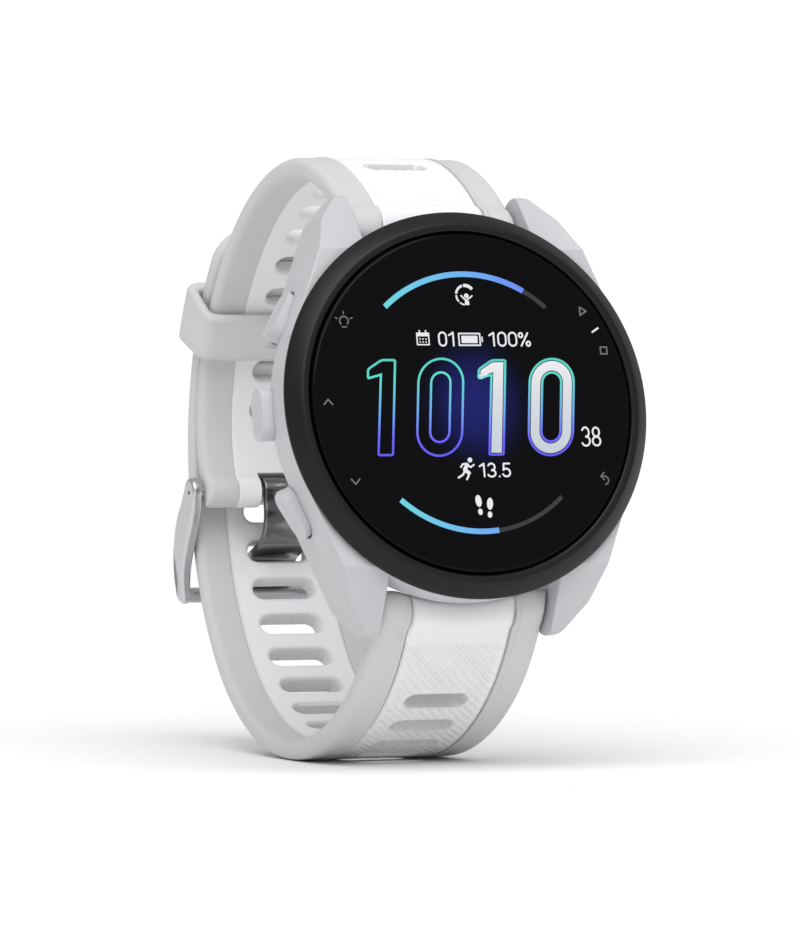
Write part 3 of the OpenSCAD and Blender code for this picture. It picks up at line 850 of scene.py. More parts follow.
def pill_outline(long, wide, segments=12):
    """A stadium, wide across local X and long along local Y."""
    points = []
    for end in (1, -1):
        for i in range(segments + 1):
            a = math.pi * i / segments + (0 if end > 0 else math.pi)
            points.append((wide / 2 * math.cos(a), end * (long - wide) / 2 + wide / 2 * math.sin(a)))
    return points


def button_frame(angle):
    """Radial frame of a button in the head: Z points out through the cap."""
    return (Matrix.Rotation(math.radians(angle), 4, "Z") @ Matrix.Translation((0, 0, BUTTON_W))
            @ Matrix.Rotation(math.pi / 2, 4, "Y"))


class WATCH_OT_bezel(bpy.types.Operator):
    """Turn the bezel with its wide chamfer, fine edges and the groove beside the glass"""

    bl_idname = "watch.bezel"
    bl_label = "Bezel"

    def execute(self, context):
        size, palette = sizes(), context.scene.watch_colours
        rim, glass = size["bezel_d"] / 2, size["glass_d"] / 2
        bm = bmesh.new()
        seat = [(glass + 0.1, 1.1), (glass + 0.1, 0.55), (SEAT_R, 0.55)]
        turned(bm, [(SEAT_R, 0), *inset_from(rim, BEZEL_INSETS), *seat], size["lathe_steps"])
        close_shape(bm)
        material = finish_material("bezel_anodised", palette.bezel_black, roughness=0.38, specular=0.3,
                                   grain=4200, bump=0.25, variation=0.12, cloud=40)
        make_piece(bm, "bezel", material, "case", ["bezel_ring"], HEAD, crease=25)
        return {"FINISHED"}


class WATCH_OT_glass(bpy.types.Operator):
    """Turn the display glass with its rounded rim"""

    bl_idname = "watch.glass"
    bl_label = "Glass"

    def execute(self, context):
        size, palette = sizes(), context.scene.watch_colours
        bm = bmesh.new()
        turned(bm, [(0, 0.75), *inset_from(size["glass_d"] / 2, GLASS_INSETS), (9, GLASS_TOP),
                    (0, GLASS_TOP)], size["lathe_steps"], closed=False)
        close_shape(bm)
        make_piece(bm, "display_glass", display_glass(palette), "case", ["lens"], HEAD,
                   crease=25)
        return {"FINISHED"}


# ---- Dial figures: flat shapes just above the glass, in the dial's own axes ----
DIAL_FACE = GLASS_TOP + 0.005
FIGURE_T = 0.012  # thickness of the flat figures


def arc_band(bm, radius, width, start, end, centre=(0, 0), steps=48):
    """A band of a ring between two angles in degrees."""
    a = math.radians(start)
    spoke = [bm.verts.new((centre[0] + (radius + d) * math.cos(a), centre[1] + (radius + d) * math.sin(a), 0))
             for d in (-width / 2, width / 2)]
    edge = bm.edges.new(spoke)
    bmesh.ops.spin(bm, geom=[*spoke, edge], cent=(*centre, 0), axis=(0, 0, 1),
                   angle=math.radians(end - start), steps=steps, use_merge=False)


def dot(bm, x, y, radius, stretch=1.0, lean=0.0):
    turn = Matrix.Rotation(math.radians(lean), 4, "Z")
    place = Matrix.Translation((x, y, 0)) @ turn @ Matrix.Diagonal((1, stretch, 1, 1))
    bmesh.ops.create_circle(bm, cap_ends=True, segments=24, radius=radius, matrix=place)


def stroke(bm, points, width, ends=True):
    """A line of constant width through points, with round joints."""
    for (x0, y0), (x1, y1) in zip(points, points[1:]):
        span, turn = math.hypot(x1 - x0, y1 - y0), math.atan2(y1 - y0, x1 - x0)
        place = (Matrix.Translation(((x0 + x1) / 2, (y0 + y1) / 2, 0)) @ Matrix.Rotation(turn, 4, "Z")
                 @ Matrix.Diagonal((span, width, 1, 1)))
        bmesh.ops.create_grid(bm, x_segments=1, y_segments=1, size=0.5, matrix=place)
    for x, y in points if ends else points[1:-1]:
        bmesh.ops.create_circle(bm, cap_ends=True, segments=12, radius=width / 2,
                                matrix=Matrix.Translation((x, y, 0)))


def lift(bm):
    """Gives flat figures their thickness and lays them on the glass."""
    bmesh.ops.remove_doubles(bm, verts=bm.verts, dist=1e-5)
    pull_out(bm, list(bm.faces), (0, 0, FIGURE_T))
    bmesh.ops.translate(bm, vec=(0, 0, DIAL_FACE), verts=bm.verts)
    bmesh.ops.recalc_face_normals(bm, faces=bm.faces)


def moved(points, at):
    return [(at[0] + x, at[1] + y) for x, y in points]


def bow(x, y, rx, ry, start, end, steps=14):
    """Points along an oval between two angles in degrees."""
    turns = [math.radians(start + (end - start) * i / steps) for i in range(steps + 1)]
    return [(x + rx * math.cos(a), y + ry * math.sin(a)) for a in turns]


# Single-line numerals in a box one high: (advance, lines)
NUMERALS = {
    "0": (0.68, [bow(0.32, 0.68, 0.24, 0.27, 0, 180) + bow(0.32, 0.32, 0.24, 0.27, 180, 360)
                 + [(0.56, 0.68)]]),
    "1": (0.56, [[(0.08, 0.76), (0.36, 0.94), (0.36, 0.05)]]),
    "3": (0.66, [bow(0.29, 0.71, 0.22, 0.24, 155, -85), bow(0.28, 0.28, 0.26, 0.24, 80, -155)]),
    "5": (0.66, [[(0.52, 0.94), (0.15, 0.94), (0.11, 0.5)] + bow(0.29, 0.32, 0.25, 0.27, 130, -155)]),
    "8": (0.68, [bow(0.31, 0.72, 0.21, 0.22, 0, 360, 20), bow(0.31, 0.27, 0.25, 0.22, 0, 360, 20)]),
    "%": (0.86, [bow(0.17, 0.78, 0.12, 0.15, 0, 360), bow(0.63, 0.2, 0.12, 0.15, 0, 360),
                 [(0.62, 0.92), (0.18, 0.06)]]),
    ".": (0.3, [[(0.13, 0.05), (0.13, 0.06)]]),
}


def figures(bm, text, x, y, height, width, line):
    """Numerals set on the dial, fitted to a width and height from their lower left corner."""
    squeeze = width / sum(NUMERALS[sign][0] for sign in text)
    for sign in text:
        advance, lines = NUMERALS[sign]
        for points in lines:
            stroke(bm, [(x + px * squeeze, y + py * height) for px, py in points], line)
        x += advance * squeeze


def digit_one(right):
    """Outline of a big slanted 1 whose right side stands at right."""
    points = [(-3.3, 3.68), (-3.25, 2.45), (-1.76, 2.86), (-1.82, -5.96), (0.12, -5.96), (0.12, 4.76),
              (-1.66, 4.76)]
    return rounded([(right + x, y) for x, y in points], [0.3, 0.3, 0, 0.28, 0.28, 0.3, 0.35])


def digit_zero(centre):
    return [(centre + x, -0.57 + y) for x, y in pill_outline(10.98, 5.56, 20)]


def digit_rings(bm, outline, widths):
    """Insets an outline ring by ring; returns the faces of each ring and the face left in the middle."""
    face = outline_face(bm, outline)
    face.normal_update()
    rings = []
    for width in widths:
        rings.append(bmesh.ops.inset_individual(bm, faces=[face], thickness=width,
                                                use_even_offset=True)["faces"])
    return rings, face


class WATCH_OT_dial(bpy.types.Operator):
    """Lay the time, the arcs, the small figures and the icons on the display"""

    bl_idname = "watch.dial"
    bl_label = "Dial Figures"

    def execute(self, context):
        palette = context.scene.watch_colours
        self.time(palette)
        self.arcs()
        self.small_figures(palette)
        self.icons()
        self.button_marks()
        return {"FINISHED"}

    def piece(self, bm, name, material, slant=False):
        if slant:
            shear = Matrix(((1, DIGIT_SLANT, 0, 0), (0, 1, 0, 0), (0, 0, 1, 0), (0, 0, 0, 1)))
            bmesh.ops.transform(bm, matrix=shear, verts=bm.verts)
        lift(bm)
        return make_piece(bm, name, material, "case", (), HEAD)

    def time(self, palette):
        """Two outlined digits, then two filled ones, with a coloured line round each."""
        low, high = (DIAL_HEIGHT - 5.9) * MM, (DIAL_HEIGHT + 4.8) * MM
        line = lit_material("digit_outline", [(0, palette.display_foot),
                                              (0.22, shade(palette.display_foot, 1.25)),
                                              (0.5, palette.display_middle), (0.85, palette.display_top),
                                              (1, shade(palette.display_top, 0.9))], "Z", low, high)
        fill = lit_material("digit_fill", [(0, linear(196, 208, 218)), (0.3, linear(206, 212, 220)),
                                           (0.7, linear(222, 222, 228)), (1, linear(236, 236, 240))], "Z",
                            low, high)
        outline, filled = bmesh.new(), bmesh.new()
        for right, centre, solid in ((-9.33, -3.87, False), (3.76, 9.37, True)):
            for bm, keep in ((outline, "line"), (filled, "fill")):
                if keep == "fill" and not solid:
                    continue
                rings, middle = digit_rings(bm, digit_one(right), [0.25, 0.1] if solid else [0.25])
                self.keep_only(bm, rings[:1] if keep == "line" else [[middle]], rings + [[middle]])
                rings, middle = digit_rings(bm, digit_zero(centre), [0.25, 0.1, 1.06, 0.1, 0.25])
                wanted = [rings[0], rings[4]] if keep == "line" else [rings[2]]
                self.keep_only(bm, wanted, rings + [[middle]])
        self.piece(outline, "time_outline", line, slant=True)
        self.piece(filled, "time_fill", fill, slant=True)

    def keep_only(self, bm, wanted, everything):
        kept = {f for ring in wanted for f in ring}
        bmesh.ops.delete(bm, geom=[f for ring in everything for f in ring if f not in kept], context="FACES")

    def arcs(self):
        bright = lit_material("arc_glow", [(0, linear(112, 214, 222)), (0.5, linear(112, 182, 240)),
                                           (1, linear(108, 140, 246))], "X", -9.5 * MM, 7.2 * MM)
        dim = lit_material("arc_rest", [(0, linear(52, 52, 54)), (1, linear(62, 62, 64))], "X", -9 * MM,
                           10 * MM)
        bm = bmesh.new()
        arc_band(bm, 14.22, 0.62, 132.2, 60.4)
        arc_band(bm, 14.3, 0.6, -131.2, -82.4)
        self.piece(bm, "progress_arcs", bright)
        bm = bmesh.new()
        arc_band(bm, 14.22, 0.5, 60.3, 47.8, steps=12)
        arc_band(bm, 14.32, 0.46, -82.3, -47.4, steps=24)
        self.piece(bm, "progress_rest", dim)

    def small_figures(self, palette):
        white = lit_material("figure_white", [(0, shade(palette.display_white, 0.95)),
                                              (1, palette.display_white)], "X", -9 * MM, 9 * MM)
        bm = bmesh.new()
        figures(bm, "01", -3.6, 6.16, 1.64, 2.2, 0.2)
        figures(bm, "100%", 2.4, 6.16, 1.64, 5.2, 0.2)
        figures(bm, "38", 12.62, -5.0, 2.26, 2.5, 0.2)
        figures(bm, "13.5", 0.02, -8.34, 1.6, 3.95, 0.2)
        self.piece(bm, "small_figures", white)

    def icons(self):
        white = MATERIALS["figure_white"]
        bm = bmesh.new()
        # ring gauge with a small figure whose arms are raised
        for start, end, width in ((98, 38, 0.36), (172, 106, 0.26), (222, 180, 0.2), (262, 230, 0.16)):
            arc_band(bm, 1.08, width, start, end, centre=(0.08, 11.88), steps=12)
        dot(bm, 0.2, 11.8, 0.27)
        stroke(bm, [(-0.42, 11.82), (0.12, 11.27), (0.88, 11.8)], 0.17)
        stroke(bm, [(0.24, 11.25), (0.22, 10.78)], 0.5, ends=False)
        # calendar leaf
        for rail in ([(-6.05, 6.35), (-6.05, 7.62)], [(-4.65, 6.35), (-4.65, 7.62)],
                     [(-6.05, 6.35), (-4.65, 6.35)], [(-6.05, 7.35), (-4.65, 7.35)],
                     [(-6.05, 7.62), (-4.65, 7.62)]):
            stroke(bm, rail, 0.15)
        stroke(bm, [(-6.05, 7.49), (-4.65, 7.49)], 0.24, ends=False)
        for x in (-5.72, -4.98):
            stroke(bm, [(x, 7.62), (x, 7.9)], 0.16)
        for x in (-5.7, -5.35, -5.0):
            for y in (6.98, 6.66):
                dot(bm, x, y, 0.085)
        # battery with its charge
        stroke(bm, [(-1.08, 6.3), (-1.08, 7.6), (1.42, 7.6), (1.42, 6.3), (-1.08, 6.3)], 0.17)
        stroke(bm, [(1.68, 6.72), (1.68, 7.2)], 0.16)
        stroke(bm, [(-0.78, 6.95), (1.12, 6.95)], 0.82, ends=False)
        # runner
        dot(bm, -0.92, -6.42, 0.27)
        stroke(bm, [(-1.3, -6.95), (-1.62, -7.5), (-1.15, -7.85)], 0.42)
        stroke(bm, [(-1.3, -6.88), (-0.92, -7.22), (-0.5, -6.95)], 0.19)
        stroke(bm, [(-1.38, -6.82), (-1.82, -6.88), (-2.05, -7.2)], 0.19)
        stroke(bm, [(-1.15, -7.85), (-1.22, -8.15), (-1.45, -8.55)], 0.22)
        stroke(bm, [(-1.62, -7.6), (-1.85, -8.02), (-2.42, -8.36)], 0.22)
        # footprints
        for x, y in ((-0.28, -11.36), (1.05, -11.68)):
            turn = 6 if x < 0 else -6
            dot(bm, x, y + 0.42, 0.36, 1.85, turn)
            dot(bm, x + (0.12 if x < 0 else -0.1), y - 0.78, 0.27, 1.3, turn)
        self.piece(bm, "dial_icons", white)

    def button_marks(self):
        """A small plain mark on the glass beside each button, in place of a word."""
        grey = lit_material("mark_grey", [(0, linear(104, 104, 108)), (1, linear(120, 120, 124))], "Z",
                            25 * MM, 55 * MM)
        bm = bmesh.new()
        lamp = (-14.5, 8.95)
        arc_band(bm, 0.5, 0.15, -50, 230, centre=lamp, steps=20)
        stroke(bm, moved([(-0.26, -0.66), (0.26, -0.66)], lamp), 0.14)
        for a in (20, 90, 160):
            ray = Vector((math.cos(math.radians(a)), math.sin(math.radians(a))))
            stroke(bm, [tuple(Vector(lamp) + ray * 0.78), tuple(Vector(lamp) + ray * 1.05)], 0.13)
        for (x, y), way in (((-17.05, 0.0), 1), ((-14.55, -8.7), -1)):
            stroke(bm, [(x - 0.5, y - 0.25 * way), (x, y + 0.3 * way), (x + 0.5, y - 0.25 * way)], 0.17)
        play, stop, back = (14.0, 10.15), (16.2, 5.75), (15.05, -8.75)
        stroke(bm, moved([(-0.3, -0.45), (-0.3, 0.45), (0.45, 0), (-0.3, -0.45)], play), 0.16)
        square = [(-0.38, -0.38), (0.38, -0.38), (0.38, 0.38), (-0.38, 0.38), (-0.38, -0.38)]
        stroke(bm, moved(square, stop), 0.16)
        stroke(bm, moved([(-0.05, 0.85), (-0.45, 0.45), (-0.05, 0.05)], back), 0.16)
        arc_band(bm, 0.46, 0.16, 90, -90, centre=(back[0] - 0.02, back[1] - 0.01), steps=14)
        stroke(bm, moved([(-0.42, 0.45), (0, 0.45)], back), 0.16)
        self.piece(bm, "button_marks", grey)
        bm = bmesh.new()
        stroke(bm, [(14.95, 7.78), (15.78, 8.3)], 0.2, ends=False)
        self.piece(bm, "start_tick", MATERIALS["figure_white"])


class WATCH_OT_buttons(bpy.types.Operator):
    """Make the five crowned button caps with their stems"""

    bl_idname = "watch.buttons"
    bl_label = "Buttons"

    def execute(self, context):
        size, palette = sizes(), context.scene.watch_colours
        material = finish_material("button_plastic", palette.button_grey, roughness=0.36, grain=5200,
                                   bump=0.08, variation=0.02, edge_wear_and_highlight=0.3, hollow_shade=0.4, specular=0.45)
        for name, angle in BUTTON_ANGLES.items():
            bm = bmesh.new()
            outline = pill_outline(size["button_l"], size["button_w"], 16)
            slab(bm, outline, CAP_INNER_R, CAP_OUTER_R)
            top = max(bm.faces, key=lambda f: f.calc_center_median().z)
            lowered = {v: CAP_ROUNDING[0][1] for v in top.verts}
            for (before, _), (inset, down) in zip(CAP_ROUNDING, CAP_ROUNDING[1:]):
                bmesh.ops.inset_region(bm, faces=[top], thickness=inset - before, use_even_offset=True)
                lowered.update({v: down for v in top.verts})
            for _ in range(2):
                bmesh.ops.inset_region(bm, faces=[top], thickness=0.3, use_even_offset=True)
                lowered.update({v: 0.0 for v in top.verts})
            for v, down in lowered.items():
                away = v.co.x ** 2 + v.co.y ** 2
                v.co.z = CAP_OUTER_R - CAP_CROWN_R + math.sqrt(CAP_CROWN_R * CAP_CROWN_R - away) - down
            bmesh.ops.create_cone(bm, cap_ends=True, segments=24, radius1=0.8, radius2=0.8, depth=3.0,
                                  matrix=Matrix.Translation((0, 0, CAP_INNER_R - 1.45)))
            bmesh.ops.transform(bm, matrix=button_frame(angle), verts=bm.verts)
            node = "button_" + name
            make_piece(bm, node + "_cap", material, node, [node], HEAD, crease=40)
        return {"FINISHED"}


def silicone(context):
    palette = context.scene.watch_colours
    grey = finish_material("strap_silicone_grey", palette.strap_grey, roughness=0.56, grain=2600, bump=0.16,
                           variation=0.018, hollow_shade=0.55, sheen=0.05, specular=0.22)
    white = finish_material("strap_silicone_white", palette.core_white, roughness=0.55, grain=2600, bump=0.12,
                            variation=0.012, hollow_shade=0.5, sheen=0.05, specular=0.22)
    return grey, white


class WATCH_OT_lower_strap(bpy.types.Operator):
    """Make the long strap half, from its lug round to the tail under the keeper"""

    bl_idname = "watch.lower_strap"
    bl_label = "Lower Strap"

    def execute(self, context):
        size = sizes()
        grey, white = silicone(context)
        core = strap_core("lower_core", LOWER_PATH, LOWER_SLOTS, size, white, None, "lower_strap_core", 1,
                          end=LOWER_PATH.length - TAIL_BORDER - CORE_GAP)
        edges = strap_edges("lower_edges", LOWER_PATH, size, grey, None, "lower_strap_edges", tail_round=6.0)
        for piece in (core, edges):
            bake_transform(piece)
        return {"FINISHED"}


class WATCH_OT_upper_strap(bpy.types.Operator):
    """Make the short strap half, from its lug to the buckle"""

    bl_idname = "watch.upper_strap"
    bl_label = "Upper Strap"

    def execute(self, context):
        size = sizes()
        grey, white = silicone(context)
        strap_core("upper_core", UPPER_PATH, UPPER_SLOTS, size, white, "upper_strap", "upper_strap_core", -1,
                   tail_eye=BUCKLE_EYE_R, notch=(size["tang_w"] / 2 + 0.25, UPPER_PATH.length - 1.95))
        strap_edges("upper_edges", UPPER_PATH, size, grey, "upper_strap", "upper_strap_edges",
                    tail_eye=BUCKLE_EYE_R)
        return {"FINISHED"}


class WATCH_OT_keeper(bpy.types.Operator):
    """Make the keeper loop, bent about the same centre as the layers that it holds"""

    bl_idname = "watch.keeper"
    bl_label = "Keeper"

    def execute(self, context):
        size, palette = sizes(), context.scene.watch_colours
        r0, r1 = INNER_WRAP_R - 1.45, OUTER_WRAP_R + 1.45
        middle = (r0 + r1) / 2
        outside = ((r1 - r0) / 2 + KEEPER_WALL, size["strap_w"] / 2 + 1.5)
        inside = ((r1 - r0) / 2, size["strap_w"] / 2 + 0.25)
        run = math.radians(KEEPER_LAST - KEEPER_FIRST) * middle
        bm = bmesh.new()
        loops = []
        for (up, across), corner in ((outside, 1.8), (inside, 0.75)):
            outline = rounded([(-across, -up), (across, -up), (across, up), (-across, up)], corner, 6)
            verts = [bm.verts.new((x, 0, z)) for x, z in outline]
            loops.append([bm.edges.new(pair) for pair in zip(verts, verts[1:] + verts[:1])])
        faces = bmesh.ops.bridge_loops(bm, edges=loops[0] + loops[1])["faces"]
        pull_out(bm, faces, (0, run, 0))
        close_shape(bm)
        rims = [e for e in bm.edges if e.is_manifold and e.calc_face_angle() > 1.2
                and abs(e.verts[0].co.y - e.verts[1].co.y) < 1e-6]
        round_edges(bm, rims, size["keeper_round"], 4)
        long = [e for e in bm.edges if abs(e.verts[0].co.y - e.verts[1].co.y) > run / 2]
        bmesh.ops.subdivide_edges(bm, edges=long, cuts=5, use_grid_fill=True)
        for v in bm.verts:
            a = math.radians(KEEPER_FIRST) + v.co.y / middle
            r = middle + v.co.z
            v.co = (v.co.x, WRAP_CENTRE[0] + r * math.cos(a) + DIAL_BACK,
                    WRAP_CENTRE[1] + r * math.sin(a) + DIAL_HEIGHT)
        bmesh.ops.recalc_face_normals(bm, faces=bm.faces)
        material = finish_material("keeper_silicone", shade(palette.strap_grey, 1.02), roughness=0.5,
                                   grain=2600, bump=0.12, variation=0.015, hollow_shade=0.35, sheen=0.1,
                                   specular=0.4)
        make_piece(bm, "keeper", material, "keeper", ["keeper_loop"], crease=45)
        return {"FINISHED"}


class WATCH_OT_buckle(bpy.types.Operator):
    """Make the buckle frame and its curved tang"""

    bl_idname = "watch.buckle"
    bl_label = "Buckle"

    def execute(self, context):
        size, palette = sizes(), context.scene.watch_colours
        steel = finish_material("buckle_steel_brushed", palette.steel, roughness=0.3, metallic=1.0,
                                variation=0.05, brushed=(5000, 5000, 90), bump=0.2, edge_wear_and_highlight=0.4, hollow_shade=0.3,
                                bump_size=0.00001)
        # the tang's colour is the frame's steel darkened to 0.36: painted shade for the dark look of its
        # polished face
        polished = finish_material("tang_steel_painted_dark", shade(palette.steel, 0.36), roughness=0.2, metallic=1.0,
                                   variation=0.05, brushed=(80, 7000, 7000), bump=0.1, edge_wear_and_highlight=0.3,
                                   bump_size=0.00001)
        self.frame(size, steel)
        self.tang(size, polished)
        return {"FINISHED"}

    def to_row(self, bm):
        """From the strap's profile plane, with Z across the strap, into the row frame."""
        turn = Matrix(((0, 0, 1, 0), (1, 0, 0, DIAL_BACK), (0, 1, 0, DIAL_HEIGHT), (0, 0, 0, 1)))
        bmesh.ops.transform(bm, matrix=turn, verts=bm.verts)

    def round_end(self, x, y, radius, turns):
        return [(x + radius * math.cos(math.radians(a)), y + radius * math.sin(math.radians(a)))
                for a in turns]

    def frame(self, size, steel):
        half, arm = size["buckle_w"] / 2, 1.3
        head = self.round_end(BUCKLE_AT[0] + 0.45, BUCKLE_AT[1], 1.62, range(10, 211, 20))
        foot = self.round_end(BOW_AT[0] + 0.1, BOW_AT[1] + 0.2, 1.22, range(190, 361, 20))
        inner = [(52.65, -12.4), (53.5, -14.3), (54.75, -16.4), (55.6, -18.1), (56.15, -19.6), (56.35, -21)]
        outer = [(58.95, -20.6), (59.25, -19), (59.2, -17.3), (58.85, -15.7), (58.3, -14.1), (57.5, -12.7),
                 (56.5, -11.5)]
        outline = head + inner + foot + outer
        bm = bmesh.new()
        slab(bm, outline, half - arm, half, bevel=0.4, segments=4)
        for v in bm.verts:
            # the outer face turns in towards the bow
            s = min(max((-19.6 - v.co.y) / 4.1, 0.0), 1.0)
            v.co.z -= (v.co.z - half + arm) / arm * 0.85 * (1 - math.sqrt(1 - s * s))
        # a round bar joins the feet of the two arms
        bmesh.ops.create_cone(bm, cap_ends=True, segments=24, radius1=0.9, radius2=0.9, depth=2 * half - 2.2,
                              matrix=Matrix.Translation((*BOW_AT, 0)))
        upper_arm = [f for f in bm.faces if f.calc_center_median().z > half - arm - 0.01]
        mirrored = bmesh.ops.duplicate(bm, geom=upper_arm)
        bmesh.ops.scale(bm, vec=(1, 1, -1), verts=verts_of(mirrored["geom"]))
        self.to_row(bm)
        bmesh.ops.recalc_face_normals(bm, faces=bm.faces)
        make_piece(bm, "buckle_bow", steel, "buckle_frame", ["buckle_frame"], crease=38,
                   weighted=True)
        # each end of the pin shows as a small dark disc on the arm's outside: painted shade standing for a
        # hole
        dark = finish_material("pin_hole_painted_shade", linear(30, 30, 32), roughness=0.6, metallic=0.6,
                               variation=0.1)
        bm = bmesh.new()
        for side in (1, -1):
            bmesh.ops.create_cone(bm, cap_ends=True, segments=20, radius1=0.24, radius2=0.24, depth=0.02,
                                  matrix=Matrix.Translation((BUCKLE_AT[0] + 0.25, BUCKLE_AT[1] - 0.1,
                                                             side * (half + 0.002))))
        self.to_row(bm)
        make_piece(bm, "pin_hole_shade_discs", dark, "buckle_frame")

    def tang(self, size, steel):
        roll = [(*(Vector(BUCKLE_AT) + direction(math.radians(a)) * 1.27), a + 90) for a in (-30, 90, 180)]
        path = ArcPath([*roll, (51.75, -14.0, -84), (56.2, -17.7, -22), (59.2, -21.9, -66)])
        half_w, half_t = size["tang_w"] / 2, 0.45
        bm = bmesh.new()
        bmesh.ops.create_cube(bm, size=1)
        bmesh.ops.scale(bm, vec=(2 * half_w, path.length, 2 * half_t), verts=bm.verts)
        bmesh.ops.translate(bm, vec=(0, path.length / 2, 0), verts=bm.verts)
        round_edges(bm, bm.edges[:], 0.26, 3)
        long = [e for e in bm.edges if abs(e.verts[0].co.y - e.verts[1].co.y) > path.length / 2]
        bmesh.ops.subdivide_edges(bm, edges=long, cuts=80, use_grid_fill=True)
        for v in bm.verts:
            # a little narrower at the eye than where it lies on the bow
            v.co.x *= 0.92 + 0.08 * ease(v.co.y, 4.0, 10.0)
        path.bend(bm)
        bmesh.ops.recalc_face_normals(bm, faces=bm.faces)
        make_piece(bm, "buckle_tongue", steel, "buckle_tang", ["buckle_tang"], crease=40)


class WATCH_OT_inner_parts(bpy.types.Operator):
    """Give every carried-over CAD part its finish"""

    bl_idname = "watch.inner_parts"
    bl_label = "Inner Parts"

    def execute(self, context):
        palette = context.scene.watch_colours
        finishes = {
            "cover": finish_material("cover_plastic", linear(196, 196, 200), roughness=0.45, grain=4200,
                                     bump=0.15, variation=0.03, edge_wear_and_highlight=0.3, hollow_shade=0.35),
            "rubber": finish_material("seal_rubber", linear(28, 28, 30), roughness=0.75, grain=2500,
                                      bump=0.2, variation=0.1, sheen=0.1),
            "chassis": finish_material("chassis_resin", linear(64, 66, 70), roughness=0.6, grain=3000,
                                       bump=0.2),
            "board": finish_material("board_laminate", linear(18, 92, 58), roughness=0.42, grain=1500,
                                     bump=0.15, variation=0.12, coat=0.3),
            "foil": finish_material("cell_foil", linear(190, 190, 194), roughness=0.28, metallic=0.8,
                                    grain=700, bump=0.35, variation=0.05),
            "brass": finish_material("spring_brass", linear(204, 164, 96), roughness=0.32, metallic=1.0,
                                     grain=3000, bump=0.12, variation=0.08),
            "gold": finish_material("contact_gold", linear(222, 184, 110), roughness=0.2, metallic=1.0,
                                    grain=5000, bump=0.08, variation=0.05, edge_wear_and_highlight=0.3),
            "window": finish_material("sensor_glass", linear(14, 14, 17), roughness=0.1, grain=900,
                                      bump=0.02, variation=0.15, coat=0.5),
            "screw": finish_material("screw_steel", linear(158, 158, 162), roughness=0.3, metallic=1.0,
                                     grain=4500, bump=0.12, variation=0.06, edge_wear_and_highlight=0.4, hollow_shade=0.4),
            "bar": finish_material("bar_steel", linear(172, 172, 176), roughness=0.26, metallic=1.0,
                                   brushed=(120, 6000, 6000), bump=0.1, edge_wear_and_highlight=0.3),
            "panel": finish_material("display_back", linear(20, 22, 30), roughness=0.3, grain=2500,
                                     bump=0.05),
            "switch": finish_material("switch_resin", linear(42, 42, 46), roughness=0.5, grain=3500,
                                      bump=0.12),
            "pin": finish_material("buckle_pin_steel", shade(palette.steel, 0.8), roughness=0.32,
                                   metallic=1.0, brushed=(120, 6000, 6000), bump=0.1),
        }
        choice = {
            "lens_gasket": "rubber", "display_module": "panel", "inner_chassis": "chassis",
            "main_board": "board",
            "battery": "foil", "vibration_motor": "screw", "buzzer": "brass", "gps_antenna": "brass",
            "button_switches": "switch", "sensor_board": "board", "sensor_window": "window",
            "charging_contacts": "gold", "rear_cover": "cover", "rear_cover_seal": "rubber",
            "rear_screws": "screw",
            "button_seals": "rubber", "buckle_pin": "pin",
        }
        for name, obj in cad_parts.items():
            if obj.hide_render:
                continue
            kind = choice.get(name) or ("bar" if "bar" in name or "release" in name else "screw")
            obj.data.materials.clear()
            obj.data.materials.append(finishes[kind])
        return {"FINISHED"}


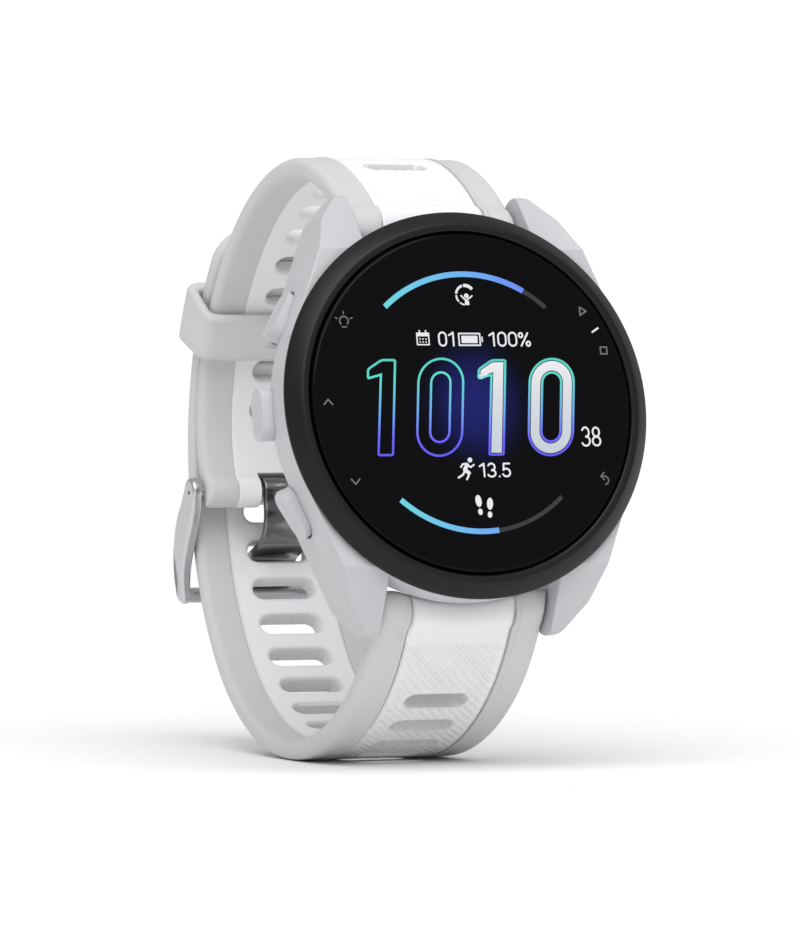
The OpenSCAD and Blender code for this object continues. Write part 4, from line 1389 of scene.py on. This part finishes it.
class WATCH_OT_stage(bpy.types.Operator):
    """Lay the pale floor, hang the soft studio lights and set the camera"""

    bl_idname = "watch.stage"
    bl_label = "Stage"

    def execute(self, context):
        scene = context.scene
        bm = bmesh.new()
        bmesh.ops.create_grid(bm, x_segments=8, y_segments=8, size=6)
        mesh = bpy.data.meshes.new("floor")
        bm.to_mesh(mesh)
        bm.free()
        floor = bpy.data.objects.new("floor", mesh)
        scene.collection.objects.link(floor)
        mesh.materials.append(finish_material("floor_paper", (0.97, 0.97, 0.97), roughness=0.9, grain=300,
                                              bump=0.02, variation=0.01, specular=0.1, cloud=2))
        world = bpy.data.worlds.new("studio")
        world.use_nodes = True
        tree = world.node_tree
        backdrop = tree.nodes["Background"]
        backdrop.inputs["Color"].default_value = (1, 1, 1, 1)
        # the backdrop is seen brighter than it lights, so that the soft key light can shape the watch
        seen = tree.nodes.new("ShaderNodeLightPath")
        strength = tree.nodes.new("ShaderNodeMapRange")
        strength.inputs["To Min"].default_value = 0.5
        strength.inputs["To Max"].default_value = 1.05
        tree.links.new(seen.outputs["Is Camera Ray"], strength.inputs["Value"])
        tree.links.new(strength.outputs[0], backdrop.inputs["Strength"])
        scene.world = world
        self.light(scene, "key_light", (-0.25, -0.7, 1.05), 60, 2.2)
        scene.view_settings.view_transform = "Standard"
        camera = bpy.data.cameras.new("camera")
        camera.sensor_fit = "VERTICAL"
        camera.sensor_height = 36
        camera.sensor_width = 36
        camera.lens = CAMERA_LENS
        camera.clip_start, camera.clip_end = 0.05, 30
        obj = bpy.data.objects.new("camera", camera)
        scene.collection.objects.link(obj)
        obj.location = CAMERA_AT
        turn, rise = math.radians(CAMERA_TURN), math.radians(CAMERA_RISE)
        behind = Vector((-math.sin(turn) * math.cos(rise), -math.cos(turn) * math.cos(rise), math.sin(rise)))
        obj.rotation_euler = behind.to_track_quat("Z", "Y").to_euler()
        scene.camera = obj
        return {"FINISHED"}

    def light(self, scene, name, place, softness, strength):
        """A broad, even light as from a large studio bank a long way off."""
        lamp = bpy.data.lights.new(name, "SUN")
        lamp.angle, lamp.energy = math.radians(softness), strength
        obj = bpy.data.objects.new(name, lamp)
        scene.collection.objects.link(obj)
        obj.location = place
        obj.rotation_euler = Vector(place).to_track_quat("Z", "Y").to_euler()


OPERATORS = (WATCH_OT_case, WATCH_OT_bezel, WATCH_OT_glass, WATCH_OT_dial, WATCH_OT_buttons,
             WATCH_OT_lower_strap, WATCH_OT_upper_strap, WATCH_OT_keeper, WATCH_OT_buckle,
             WATCH_OT_inner_parts, WATCH_OT_stage)


class WATCH_PT_sidebar(bpy.types.Panel):
    """The watch's pieces in the sidebar"""

    bl_label = "Running Watch"
    bl_space_type = "VIEW_3D"
    bl_region_type = "UI"
    bl_category = "Watch"

    def draw(self, context):
        column = self.layout.column()
        for operator in OPERATORS:
            column.operator(operator.bl_idname)
        for group in (context.scene.watch_sizes, context.scene.watch_colours):
            for name in type(group).__annotations__:
                column.prop(group, name)


CLASSES = (WatchSizes, WatchColours, *OPERATORS, WATCH_PT_sidebar)


def register():
    for cls in CLASSES:
        bpy.utils.register_class(cls)
    bpy.types.Scene.watch_sizes = PointerProperty(type=WatchSizes)
    bpy.types.Scene.watch_colours = PointerProperty(type=WatchColours)


def unregister():
    del bpy.types.Scene.watch_sizes, bpy.types.Scene.watch_colours
    for cls in reversed(CLASSES):
        bpy.utils.unregister_class(cls)


def main():
    register()
    for operator in OPERATORS:
        getattr(bpy.ops.watch, operator.bl_idname.split(".")[1])()


if __name__ == "__main__":
    main()
